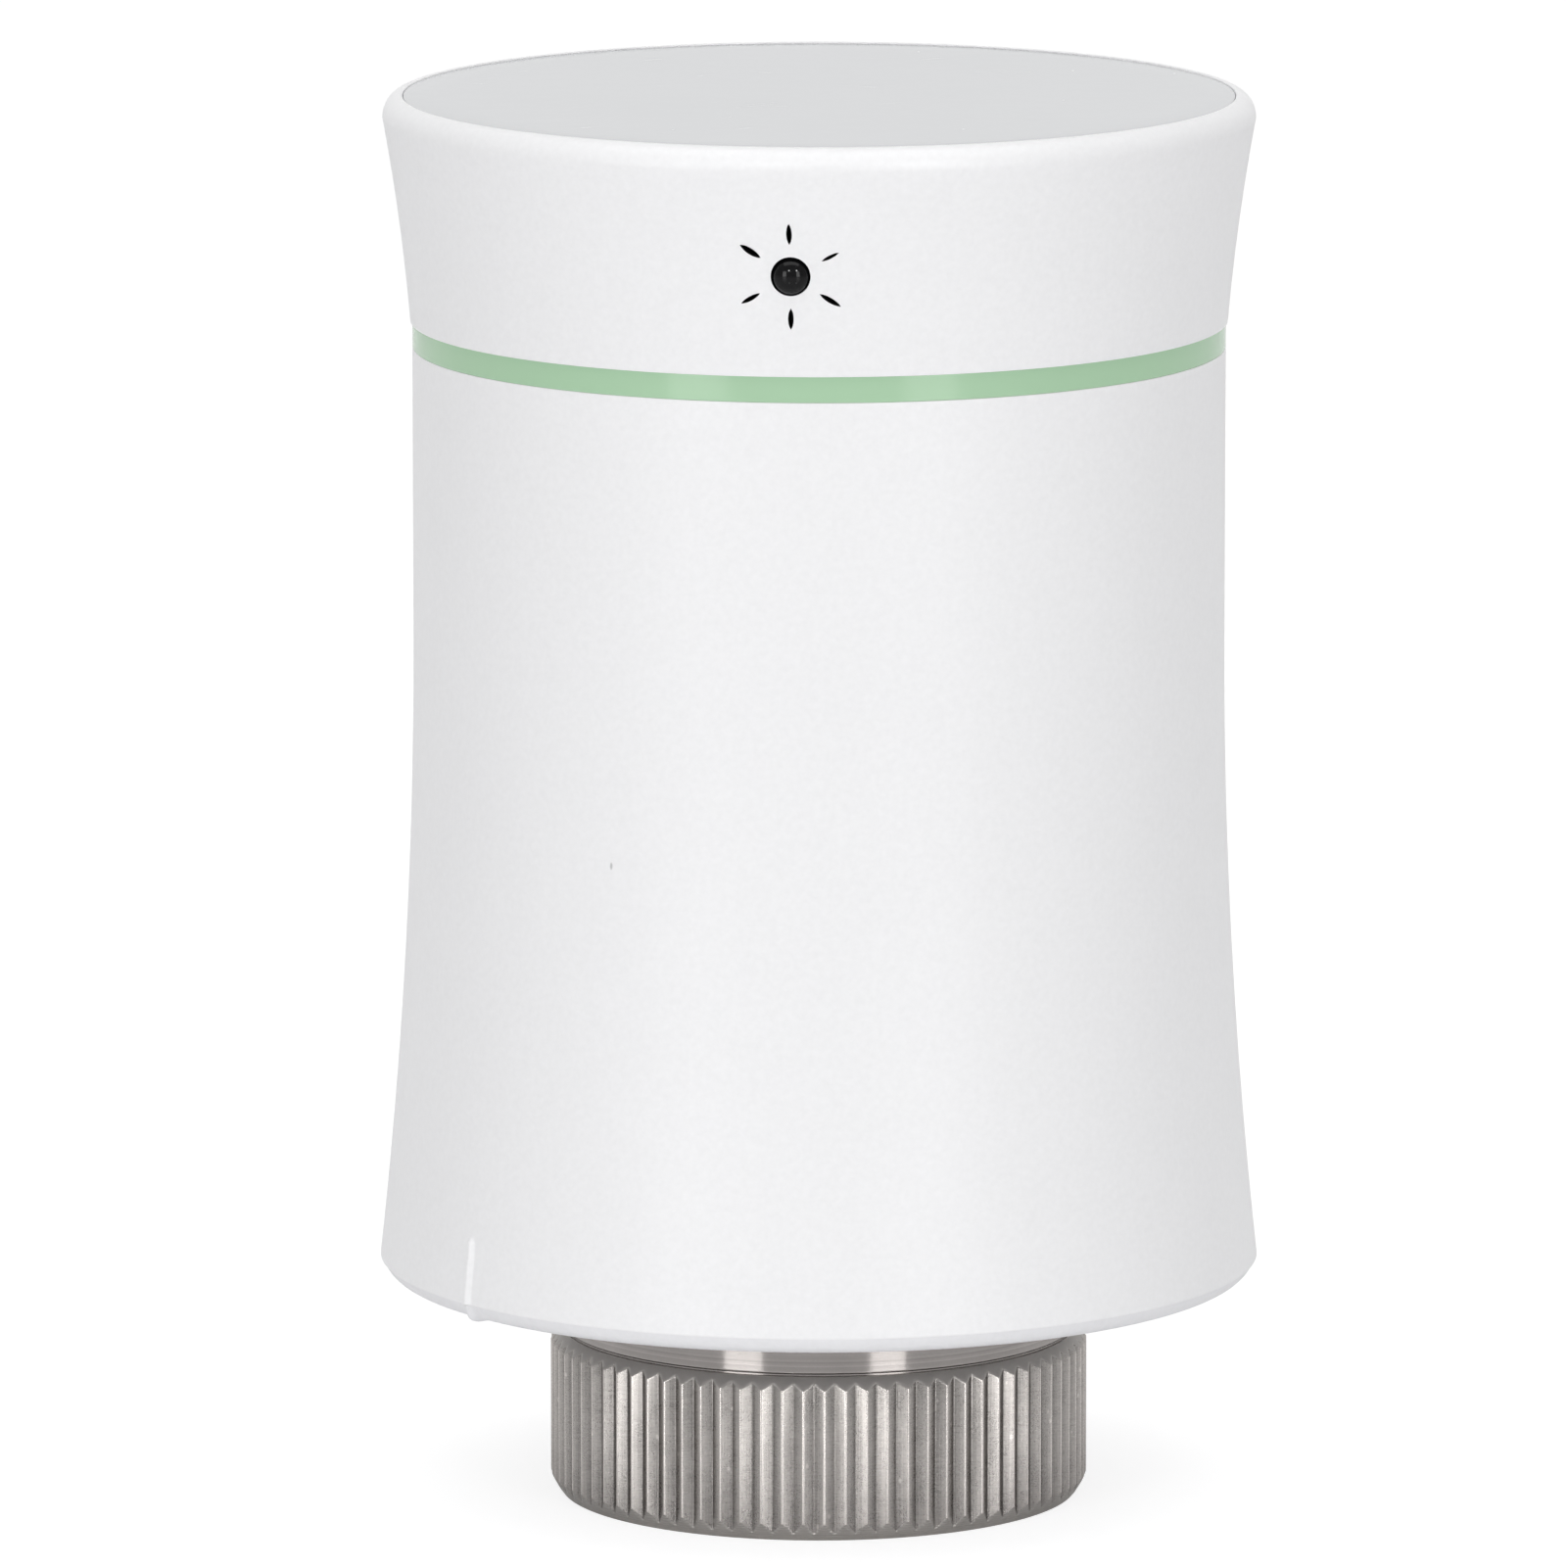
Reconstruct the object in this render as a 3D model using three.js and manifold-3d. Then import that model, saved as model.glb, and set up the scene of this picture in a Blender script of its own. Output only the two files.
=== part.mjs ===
// Radiator thermostat head: a battery-powered regulator that screws onto a radiator valve.
// Millimetres, +Z up, front at -Y. The origin is the centre of the union nut's lower face.

import * as THREE from 'three';
import { mergeVertices } from 'three/addons/utils/BufferGeometryUtils.js';
import Module from 'manifold-3d';

const wasm = await Module();
wasm.setup();

// ---------------------------------------------------------------- Driving dimensions

// Clearances
const gap = 0.3; // between pieces that are fixed to each other
const seam = 0.1; // between the faces of outer pieces that meet in a fine line
const axleClearance = 0.07; // radial, of a gear on its axle
const fitClearance = 0.05; // radial, of a pressed shaft in its bore
const journalClearance = 0.2; // radial, of the spindle gear's journals and of the square guide
const threadClearance = 0.1; // radial, of a screw's thread in its post
const endPlay = 0.2; // axial, above and below each gear
const passage = 1; // how far a cutting shape runs past the face that it cuts
const overlapDepth = 0.5; // how far a shape that is joined to another sinks into it

// Facets around a full turn
const outerSegments = 40;
const innerSegments = 24;
const smallSegments = 16;
const pinSegments = 12;

// Union nut with an M30 x 1.5 thread, bored here to the thread's minor diameter
const threadMajorRadius = 15;
const threadPitch = 1.5;
const threadReach = 8.4;
const threadChamfer = 0.8;
const threadReliefDepth = 0.05;
const nutWall = 2;
const nutTeeth = 80;
const toothDepth = 0.38;
const nutFootChamfer = [0.7, 1.15];
const nutNeckChamfer = [0.8, 0.82];
const nutNeckHeight = 3.17;
const nutLipThickness = 2.9;

// Valve collar and its retaining clip
const collarShoulder = 1.4;
const collarWall = 2.9;
const collarFlangeThickness = 2;
const collarEndLength = 1.4;
const clipThickness = 0.7;
const clipWidth = 2.3;
const clipDepth = 0.6;
const clipMouth = 50;
const clipSteps = 16;

// Backplate and bayonet
const plateGap = 0.48;
const plateThickness = 1.92;
const lipFillet = 1.44;
const lipFilletSteps = 3;
const lipHeight = 1.04;
const lipInset = 0.09;
const bayonetTurn = 25;
const bayonetPlay = 2;
const bayonetCount = 3;
const bayonetFirstAngle = 90;
const bayonetRingWidth = 1.4;
const bayonetLugHeight = 1.3;
const bayonetLugReach = 1.9;
const bayonetLugAngle = 24;
const bayonetLedgeThickness = 1.6;
const bayonetStopAngle = 3;

// Alignment rib across the seam between backplate and sleeve
const ribAngle = -141;
const ribWidth = 0.7;
const ribProud = 0.3;
const ribRise = 3.98;
const ribRunOut = 1;
const ribFootHeight = 0.52;

// Outer sleeve: a straight tube whose foot opens out as a parabola
const sleeveWall = 1.9;
const flareHeight = 39.78;
const flareReach = 2.33;
const flareSteps = 4;
const flareSpacing = 1.25;

// Accent ring and jog ring
const accentHeight = 1.5;
const headHeight = 14.2;
const headSlope = 0.07;
const headScale = 260;
const headWall = 1.9;
const headSteps = 2;
const rimRoundWidth = 1.15;
const rimRoundHeight = 1.4;
const rimRoundSteps = 3;
const rimLand = 0.15;
const jogTurn = 20;
const jogPlay = 1.5;
const jogTabAngle = 10;
const jogTabHeight = 1.5;
const jogTabReach = 2.7;
const magnetRadius = 0.8;

// Sensor in the jog ring
const sensorAngle = -93.96;
const sensorDrop = 2.05; // below the head frame's floor
const sensorRadius = 1.2;
const sensorDomeRise = 0.25;
const sensorWindowRadius = 1.8;
const ventCount = 6;
const ventCircle = 2.65;
const ventLength = 1.35;
const ventWidth = 0.36;
const ventFullness = 0.8;

// Display
const displayGap = 0.2;
const displayRecess = 0.2;
const displayThickness = 1.7;
const displayEdge = 0.2;
const panelSize = [26, 18.2, 1];

// Head frame
const frameWall = 1.3;
const frameEntry = 2.2;
const frameFlangeReach = 1.3;
const frameFlangeThickness = 0.7;
const frameFloorThickness = 1;
const cableSlotWidth = 14;
const cableSlotDepth = 3.5;
const springWire = 0.4;
const springInset = 2.5;
const springLeg = 1.8;
const springPlay = 0.5;
const springSteps = 18;
const springSides = 6;

// Gearbox
const chassisGap = 2;
const chassisClearance = 0.5;
const chassisWall = 1;
const floorThickness = 1.2;
const coverThickness = 1.2;
const gearModule = 0.4;
const pressureAngle = 20;
const pinionTeeth = 10;
const wheelTeeth = 32;
const spindleTeeth = 50;
const profileShift = 0.4;
const toothFoot = 1.25;
const toothLand = 0.02;
const backlash = 0.14;
const gearFace = 1.6;
const levelGap = 0.4;
const webRecess = 0.4;
const rimDepth = 3 * gearModule;
const axleRadius = 0.7;
const gearBossRadius = 1.3;
const axleDepth = 0.8;
const spindleHubWall = 1.7;
const journalWall = 1;
const upperJournalWall = 0.6;
const washerThickness = 0.2;
const washerWidth = 2;
const gearRoom = 1.86; // between the outermost wheel, gear 2, and the wall
const gear1Room = 1.36;
const motorRoom = 2;
const motorAngle = -90;
const motorRadius = 6;
const motorFlat = 5;
const motorLength = 15;
const motorCapRadius = 4.7;
const motorCapHeight = 1;
const motorNoseRadius = 2.2;
const motorShaftRadius = 0.5;

// Gearbox screws, driven from below into posts of the cover
const screwCount = 3;
const screwAngleFromMotor = 6;
const screwRadius = 0.9;
const screwHeadRadius = 1.8;
const screwHeadHeight = 1.1;
const screwGrip = 4.5;
const postWall = 1.2;
const postInset = 0.8;

// Plunger
const plungerStroke = 4.3;
const footRadius = 5;
const footThickness = 1.6;
const footLift = 0.4;
const plungerNeckRadius = 3;
const plungerEdge = 0.4;
const spindleScrewRadius = 2;
const guideSquare = 2.6;
const guideHeight = 5.5;
const towerWall = 1.4;

// Battery cells (AA) and their cradle
const cellRadius = 7.25;
const cellLength = 50.5;
const cellNubRadius = 2.7;
const cellNubHeight = 1.2;
const cellEdge = 0.6;
const cellSegments = 20;
const cellPartition = 0.7;
const cellSetback = 10.5;
const cradleFloor = 1;
const cradleRoof = 0.8;
const cradleWall = 1.05;
const contactThickness = 0.4;
const contactWidth = 8;

// Boards
const boardThickness = 1.6;
const mainBoardWidth = 30;
const boardFootGap = 3.8; // above the plunger's highest reach
const boardEarWidth = 3.4;
const boardEarHeight = 4.5;
const radioSize = [16, 2.2, 14];
const driverSize = [6, 1, 6];
const hallSize = [2.6, 0.9, 1.8];
const sensorBoardSize = [5.6, 0.8, 3.8];
const displayBoardInset = 0.8;
const displayBoardThickness = 1;

// ---------------------------------------------------------------- Derived heights

// Valve side, from the nut's foot up
const seatHeight = threadReach;
const flangeTop = seatHeight + collarFlangeThickness;
const nutHeight = flangeTop + gap + nutLipThickness;
const neckStart = nutHeight - nutNeckHeight;
const plateBottom = nutHeight + plateGap;
const plateTop = plateBottom + plateThickness;
const lipTop = plateBottom + lipHeight;
const clipBottom = plateTop + seam;
const collarTop = plateTop + collarEndLength;
const sleeveBottom = lipTop + seam;
const flareTop = sleeveBottom + flareHeight;
const ledgeTop = plateTop + gap + bayonetLedgeThickness;
const lugBottom = ledgeTop + gap;
const lugTop = lugBottom + bayonetLugHeight;

// Gearbox and plunger
const floorBottom = plateTop + chassisGap;
const floorTop = floorBottom + floorThickness;
const levelPitch = gearFace + levelGap;
const levelHeight = (level) => floorTop + levelGap + level * levelPitch;
const coverBottom = levelHeight(3);
const coverTop = coverBottom + coverThickness;
const footBottom = seatHeight + footLift;
const plungerNeckTop = floorBottom - gap - fitClearance;
const screwTop = coverTop - gap;
const screwEnd = floorBottom + screwGrip;
const guideTop = coverTop + guideHeight;
const squareTop = guideTop + plungerStroke + gap;

// Cells, then the head that stands on their height
const cradleBottom = coverTop + gap;
const cellBottom = cradleBottom + cradleFloor + seam + contactThickness + gap;
const cellTop = cellBottom + cellLength;
const cradleRoofBottom = cellTop + gap + contactThickness + seam;
const cradleTop = cradleRoofBottom + cradleRoof;
const tabBottom = cradleTop + gap;
const tabTop = tabBottom + jogTabHeight;
const springHeight = (tabTop + tabBottom) / 2;
const frameFloorBottom = tabTop + gap;
const frameFloorTop = frameFloorBottom + frameFloorThickness;
const displayBoardTop = frameFloorTop + gap + displayBoardThickness;
const panelTop = displayBoardTop + gap + panelSize[2];
const frameTop = panelTop + gap;
const displayBottom = frameTop + seam;
const displayTop = displayBottom + displayThickness;
const headTop = displayTop + displayRecess;
const headBottom = headTop - headHeight;
const flangeUpper = headBottom + frameFlangeThickness;
const sensorHeight = frameFloorBottom - sensorDrop;
const accentTop = headBottom - seam;
const accentBottom = accentTop - accentHeight;
const sleeveTop = accentBottom - seam;

// ---------------------------------------------------------------- Derived radii and places

// Nut and collar, from the thread outward and inward
const threadMinorRadius = threadMajorRadius - threadPitch * 5 * Math.sqrt(3) / 16;
const nutReliefRadius = threadMajorRadius + threadReliefDepth;
const nutCrestRadius = threadMajorRadius + nutWall;
const nutValleyRadius = nutCrestRadius - toothDepth;
const nutFootRadius = nutCrestRadius - nutFootChamfer[0];
const neckRadius = nutCrestRadius - nutNeckChamfer[0];
const collarFlangeRadius = threadMinorRadius - gap;
const collarTubeRadius = collarFlangeRadius - collarShoulder;
const collarBoreRadius = collarTubeRadius - collarWall;
const collarHoleRadius = collarTubeRadius + gap;
const clipInnerRadius = collarTubeRadius - clipDepth;

// Gear train: the gearbox is as wide as its wheels need
const pinionPitchRadius = gearModule * pinionTeeth / 2;
const wheelPitchRadius = gearModule * wheelTeeth / 2;
const wheelTipRadius = wheelPitchRadius + gearModule * (1 - profileShift);
const spindlePitchRadius = gearModule * spindleTeeth / 2;
const gear2Orbit = spindlePitchRadius + pinionPitchRadius;
const chassisBore = gear2Orbit + wheelTipRadius + gearRoom;
const chassisRadius = chassisBore + chassisWall;
const gear1Orbit = chassisBore - gear1Room - wheelTipRadius;
const motorOrbit = chassisBore - motorRoom - motorRadius;

// Shell, wide enough for the gearbox and for the cells
const cellX = cellRadius + cellPartition / 2;
const cellReach = Math.hypot(cellX, cellSetback) + cellRadius;
const frameBoreRadius = Math.max(chassisRadius + chassisClearance, cellReach + gap);
const frameRadius = frameBoreRadius + frameWall;
const sleeveBoreRadius = frameRadius + gap;
const sleeveRadius = sleeveBoreRadius + sleeveWall;
const cradleRadius = frameBoreRadius - gap;
const sleeveOuter = (z) => sleeveRadius
  + (z < flareTop ? flareReach * ((flareTop - z) / flareHeight) ** 2 : 0);
const lipRadius = sleeveOuter(sleeveBottom) - lipInset;
const lipStepRadius = sleeveOuter(plateTop) - sleeveWall - 2 * gap;
const bayonetInner = chassisRadius + gap;
const bayonetOuter = bayonetInner + bayonetRingWidth;
const ledgeInner = bayonetOuter + gap;
const bayonetLedgeAngle = 2 * (bayonetTurn - bayonetPlay) - bayonetLugAngle;

// Head
const headOuter = (z) => sleeveRadius + headSlope * (z - sleeveTop) + (z - sleeveTop) ** 2 / headScale;
const rimStart = headTop - rimRoundHeight;
const rimRadius = headOuter(rimStart);
const crestRadius = rimRadius - rimRoundWidth;
const rimInner = crestRadius - rimLand;
const displayRadius = rimInner - displayGap;
const tabHalfAngle = jogTabAngle / 2;
const springRadius = frameBoreRadius - springInset;
const magnetCircle = frameRadius - frameWall / 2;
const magnetBottom = tabBottom + 2 * gap;

// Spindle, its bearings and the screw posts
const spindleBoreRadius = spindleScrewRadius + gap;
const spindleHubRadius = spindleBoreRadius + spindleHubWall;
const journalRadius = spindleBoreRadius + journalWall;
const upperJournalRadius = spindleBoreRadius + upperJournalWall;
const journalBore = journalRadius + journalClearance;
const upperJournalBore = upperJournalRadius + journalClearance;
const towerRadius = upperJournalBore + towerWall;
const postRadius = screwRadius + threadClearance + postWall;
const screwCircle = chassisBore - postRadius - postInset;

const degrees = (angle) => angle * Math.PI / 180;
const onCircle = (radius, angle) => new THREE.Vector2(
  radius * Math.cos(degrees(angle)),
  radius * Math.sin(degrees(angle)),
);

/** Angle at the centre between two points at radii a and b that lie `distance` apart. */
const spread = (a, b, distance) => Math.acos((a * a + b * b - distance * distance) / (2 * a * b))
  * 180 / Math.PI;

const screwPlaces = Array.from(
  { length: screwCount },
  (_, i) => onCircle(screwCircle, motorAngle + screwAngleFromMotor + i * 360 / screwCount),
);

// The train runs from the motor round to the spindle: each centre distance is a pair's pitch radii.
const compoundDistance = wheelPitchRadius + pinionPitchRadius;
const gear1Angle = motorAngle - spread(motorOrbit, gear1Orbit, compoundDistance);
const gear2Angle = gear1Angle - spread(gear1Orbit, gear2Orbit, compoundDistance);
const motorPlace = onCircle(motorOrbit, motorAngle);
const gear1Place = onCircle(gear1Orbit, gear1Angle);
const gear2Place = onCircle(gear2Orbit, gear2Angle);
const spindlePlace = new THREE.Vector2(0, 0);
const magnetPlace = new THREE.Vector2(magnetCircle, 0);

// ---------------------------------------------------------------- Materials

const finish = (color, roughness, metalness = 0) => () => new THREE.MeshStandardMaterial({
  color,
  roughness,
  metalness,
});
const whiteShell = finish(0xf2f2f3, 0.45);
const greyLens = finish(0xdbdcde, 0.35);
const greenTrim = finish(0xb1d2b2, 0.4);
const blackLens = finish(0x17181a, 0.12);
const nickel = finish(0xa39e99, 0.3, 1);
const steel = finish(0xb4b6b9, 0.3, 1);
const springSteel = finish(0x8f9296, 0.35, 1);
const greyPlastic = finish(0x9a9da1, 0.6);
const darkPlastic = finish(0x3a3d41, 0.6);
const naturalPlastic = finish(0xe4e0d2, 0.5);
const brass = finish(0xc9a24e, 0.35, 1);
const boardGreen = finish(0x1f5b3a, 0.5);
const chipBlack = finish(0x1b1c1e, 0.5);
const cellJacket = finish(0x39424d, 0.4, 0.3);

// ---------------------------------------------------------------- Solids

/** Turns a closed geometry into a solid, with its faces outward. */
function toSolid(geometry) {
  geometry.deleteAttribute('normal');
  geometry.deleteAttribute('uv');
  const merged = mergeVertices(geometry, 1e-4);
  const position = merged.attributes.position.array;
  const corners = merged.index.array;
  const faces = [];
  const [a, b, c] = [new THREE.Vector3(), new THREE.Vector3(), new THREE.Vector3()];
  let volume = 0;
  for (let i = 0; i < corners.length; i += 3) {
    const [p, q, r] = [corners[i], corners[i + 1], corners[i + 2]];
    if (p === q || q === r || r === p) continue;
    faces.push([p, q, r]);
    a.fromArray(position, 3 * p);
    b.fromArray(position, 3 * q);
    c.fromArray(position, 3 * r);
    volume += a.dot(b.cross(c));
  }
  const turned = volume < 0 ? faces.map(([p, q, r]) => [p, r, q]) : faces;
  return new wasm.Manifold(new wasm.Mesh({
    numProp: 3,
    vertProperties: new Float32Array(position),
    triVerts: new Uint32Array(turned.flat()),
  }));
}

/** Turns a solid back into a geometry. */
function toGeometry(solid) {
  const mesh = solid.getMesh();
  const geometry = new THREE.BufferGeometry();
  geometry.setAttribute('position', new THREE.BufferAttribute(mesh.vertProperties, 3));
  geometry.setIndex(new THREE.BufferAttribute(mesh.triVerts, 1));
  geometry.computeVertexNormals();
  return geometry;
}

/** A named mesh of one solid. */
function piece(name, solid, material) {
  const mesh = new THREE.Mesh(toGeometry(solid), material());
  mesh.name = name;
  return mesh;
}

/** A named mesh whose solid is made about the Z axis and stands at a place in the XY plane. */
function standing(name, solid, material, place) {
  const mesh = piece(name, solid, material);
  mesh.position.set(place.x, place.y, 0);
  return mesh;
}

/** A solid of revolution about Z from a closed outline of [radius, height] points. */
function revolve(outline, segments, start = 0, turn = 360) {
  const points = [...outline, outline[0]].map(([r, z]) => new THREE.Vector2(r, z));
  const geometry = new THREE.LatheGeometry(points, segments, degrees(start + 90), degrees(turn));
  geometry.rotateX(Math.PI / 2);
  return toSolid(geometry);
}

/** A tube about Z, or a plain disc if the inner radius is 0. */
function tube(inner, outer, bottom, top, segments = innerSegments) {
  return revolve([[inner, bottom], [outer, bottom], [outer, top], [inner, top]], segments);
}

/** A cylinder about an axis parallel to Z. */
function rod(radius, bottom, top, place = spindlePlace, segments = smallSegments) {
  const geometry = new THREE.CylinderGeometry(radius, radius, top - bottom, segments);
  geometry.rotateX(Math.PI / 2);
  geometry.translate(place.x, place.y, (top + bottom) / 2);
  return toSolid(geometry);
}

/** A thin cylinder about an axis parallel to Z. */
const pin = (radius, bottom, top, place) => rod(radius, bottom, top, place, pinSegments);

/** A shape in the XY plane raised from one height to another. */
function raise(shape, bottom, top, curveSegments = 12) {
  const geometry = new THREE.ExtrudeGeometry(shape, {
    depth: top - bottom,
    bevelEnabled: false,
    curveSegments,
  });
  geometry.translate(0, 0, bottom);
  return toSolid(geometry);
}

/** A box from its size and its centre. */
function block([width, depth, height], [x, y, z]) {
  const geometry = new THREE.BoxGeometry(width, depth, height);
  geometry.translate(x, y, z);
  return toSolid(geometry);
}

/** Part of a ring, as wide as `width` degrees about `middle`. */
function sector(inner, outer, bottom, top, middle, width, steps = 4) {
  const shape = new THREE.Shape();
  const from = degrees(middle - width / 2);
  const to = degrees(middle + width / 2);
  shape.absarc(0, 0, outer, from, to, false);
  shape.absarc(0, 0, inner, to, from, true);
  shape.closePath();
  return raise(shape, bottom, top, steps);
}

const joined = (first, ...rest) => rest.reduce((solid, other) => solid.add(other), first);
const cut = (first, ...rest) => rest.reduce((solid, other) => solid.subtract(other), first);
const copies = (count, make) => Array.from({ length: count }, (_, i) => make(i));

// ---------------------------------------------------------------- Gears

/** Half the angle of an involute tooth at a radius. */
function toothHalfAngle(teeth, shift, radius) {
  const pitchRadius = gearModule * teeth / 2;
  const slope = Math.tan(degrees(pressureAngle));
  const baseRadius = pitchRadius * Math.cos(degrees(pressureAngle));
  const involute = (angle) => Math.tan(angle) - angle;
  const thickness = gearModule * (Math.PI / 2 + 2 * shift * slope) - backlash / 2;
  const reached = Math.acos(Math.min(1, baseRadius / radius));
  const half = thickness / (2 * pitchRadius) + involute(degrees(pressureAngle)) - involute(reached);
  return Math.max(half, toothLand / (2 * radius));
}

/** Outline of a spur gear whose first tooth points at `phase` radians. */
function gearShape(teeth, shift, phase, flankSteps) {
  const pitchRadius = gearModule * teeth / 2;
  const tip = pitchRadius + gearModule * (1 + shift);
  const root = pitchRadius - gearModule * (toothFoot - shift);
  const base = pitchRadius * Math.cos(degrees(pressureAngle));
  const start = Math.max(root, base);
  const flank = copies(flankSteps + 1, (i) => start + (tip - start) * i / flankSteps);
  const radii = [root, ...flank.slice(1)];
  const points = [];
  for (let tooth = 0; tooth < teeth; tooth += 1) {
    const middle = phase + 2 * Math.PI * tooth / teeth;
    const side = radii.map((r) => [r, toothHalfAngle(teeth, shift, Math.max(r, base))]);
    for (const [r, half] of side) {
      points.push(new THREE.Vector2(r * Math.cos(middle - half), r * Math.sin(middle - half)));
    }
    for (const [r, half] of side.reverse()) {
      points.push(new THREE.Vector2(r * Math.cos(middle + half), r * Math.sin(middle + half)));
    }
  }
  return new THREE.Shape(points);
}

/** Phase that puts a gear in mesh with its driver, whose first tooth points at `phase`. */
function meshPhase(driver, driverTeeth, phase, driven, drivenTeeth) {
  const line = Math.atan2(driven.y - driver.y, driven.x - driver.x);
  return line + Math.PI - (phase - line) * driverTeeth / drivenTeeth + Math.PI / drivenTeeth;
}

const pinion = (phase, bottom, top) => raise(gearShape(pinionTeeth, profileShift, phase, 2), bottom, top);
const wheel = (teeth, phase, bottom, top) => raise(gearShape(teeth, -profileShift, phase, 1), bottom, top);

// Every wheel's first tooth points along +X, and each pinion is turned to fit the wheel it meets.
const gear2PinionPhase = meshPhase(spindlePlace, spindleTeeth, 0, gear2Place, pinionTeeth);
const gear1PinionPhase = meshPhase(gear2Place, wheelTeeth, 0, gear1Place, pinionTeeth);
const motorPinionPhase = meshPhase(gear1Place, wheelTeeth, 0, motorPlace, pinionTeeth);

/** Wheel and pinion in one moulding: the pinion's level is `level` and the wheel is one above. */
function compoundGear(name, place, level, pinionPhase) {
  const pinionBottom = levelHeight(level);
  const wheelBottom = levelHeight(level + 1);
  const wheelTop = wheelBottom + gearFace;
  const recess = tube(
    gearBossRadius + gearModule,
    wheelPitchRadius - rimDepth,
    wheelTop - webRecess,
    wheelTop + passage,
    smallSegments,
  );
  const bore = rod(axleRadius + axleClearance, floorTop - passage, coverBottom + passage);
  const boss = rod(gearBossRadius, floorTop + endPlay, coverBottom - endPlay);
  const teeth = joined(
    pinion(pinionPhase, pinionBottom, wheelBottom + gearFace / 2),
    wheel(wheelTeeth, 0, wheelBottom, wheelTop),
  );
  return standing(name, cut(joined(cut(teeth, recess), boss), bore), naturalPlastic, place);
}

/** The wheel that turns on the plunger's screw and drives it up and down. */
function spindleGear() {
  const bottom = levelHeight(0);
  const top = bottom + gearFace;
  const shoulder = coverBottom - seam - washerThickness - seam;
  const recess = tube(
    spindleHubRadius + gearModule,
    spindlePitchRadius - rimDepth,
    top - webRecess,
    top + passage,
  );
  const hub = revolve([
    [0, floorBottom],
    [journalRadius, floorBottom],
    [journalRadius, floorTop + endPlay],
    [spindleHubRadius, floorTop + endPlay],
    [spindleHubRadius, shoulder],
    [upperJournalRadius, shoulder],
    [upperJournalRadius, coverTop - seam],
    [0, coverTop - seam],
  ], smallSegments);
  const bore = rod(spindleBoreRadius, floorBottom - passage, coverTop + passage);
  const toothed = cut(wheel(spindleTeeth, 0, bottom, top), recess);
  return piece('spindle_gear', cut(joined(toothed, hub), bore), naturalPlastic);
}

function thrustWasher() {
  const top = coverBottom - seam;
  const inner = upperJournalRadius + seam;
  return piece(
    'thrust_washer',
    tube(inner, inner + washerWidth, top - washerThickness, top, smallSegments),
    steel,
  );
}

function axle(name, place) {
  return standing(name, pin(axleRadius, floorTop - axleDepth, coverBottom + axleDepth), steel, place);
}

// ---------------------------------------------------------------- Motor

function motorPinion() {
  const bottom = levelHeight(2);
  const top = bottom + gearFace + endPlay;
  const bore = pin(motorShaftRadius + fitClearance, bottom - passage, top + passage);
  return standing('motor_pinion', cut(pinion(motorPinionPhase, bottom, top), bore), brass, motorPlace);
}

function motorShaft() {
  return standing('motor_shaft', pin(motorShaftRadius, levelHeight(2), coverTop + gap), steel, motorPlace);
}

/** A can with two flats, its nose in the cover and a brush cap on top. */
function motor() {
  const flatAngle = Math.asin(motorFlat / motorRadius);
  const can = new THREE.Shape();
  can.absarc(0, 0, motorRadius, -flatAngle, flatAngle, false);
  can.absarc(0, 0, motorRadius, Math.PI - flatAngle, Math.PI + flatAngle, false);
  can.closePath();
  const bottom = coverTop + gap;
  const top = bottom + motorLength;
  const solid = joined(
    raise(can, bottom, top, 8),
    rod(motorNoseRadius, coverBottom + gap, bottom + overlapDepth),
    rod(motorCapRadius, bottom, top + motorCapHeight),
  );
  const bore = pin(motorShaftRadius + gap, coverBottom - passage, coverTop + 2 * gap + passage);
  return standing('motor', cut(solid, bore), steel, motorPlace);
}

// ---------------------------------------------------------------- Gearbox

/** Cup with the floor that carries the axles' feet and the spindle's lower journal. */
function gearboxBase() {
  const shell = revolve([
    [journalBore, floorBottom],
    [chassisRadius, floorBottom],
    [chassisRadius, coverBottom - seam],
    [chassisBore, coverBottom - seam],
    [chassisBore, floorTop],
    [journalBore, floorTop],
  ], innerSegments);
  const axleHoles = [gear1Place, gear2Place].map((place) => pin(
    axleRadius + fitClearance,
    floorTop - axleDepth - fitClearance,
    floorTop + passage,
    place,
  ));
  const screwHoles = screwPlaces.map((place) => pin(
    screwRadius + gap,
    floorBottom - passage,
    floorTop + passage,
    place,
  ));
  return piece('gearbox_base', cut(shell, ...axleHoles, ...screwHoles), greyPlastic);
}

/** Bearing plate above the gears, with screw posts below and the plunger's square guide above. */
function gearboxCover() {
  const plate = joined(
    rod(chassisRadius, coverBottom, coverTop, spindlePlace, innerSegments),
    rod(towerRadius, coverBottom, guideTop),
    ...screwPlaces.map((place) => rod(postRadius, floorTop + seam, coverBottom + overlapDepth, place)),
  );
  const square = guideSquare + 2 * fitClearance + journalClearance;
  const squareDepth = guideHeight + passage;
  const axleHoles = [gear1Place, gear2Place].map((place) => pin(
    axleRadius + fitClearance,
    coverBottom - passage,
    coverBottom + axleDepth + fitClearance,
    place,
  ));
  const screwHoles = screwPlaces.map((place) => pin(
    screwRadius + threadClearance,
    floorTop - passage,
    screwEnd + gap,
    place,
  ));
  return piece('gearbox_cover', cut(
    plate,
    rod(upperJournalBore, coverBottom - passage, coverTop),
    block([square, square, squareDepth], [0, 0, coverTop + squareDepth / 2 - seam]),
    rod(motorNoseRadius + gap, coverBottom - passage, coverTop + passage, motorPlace),
    ...axleHoles,
    ...screwHoles,
  ), greyPlastic);
}

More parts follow.
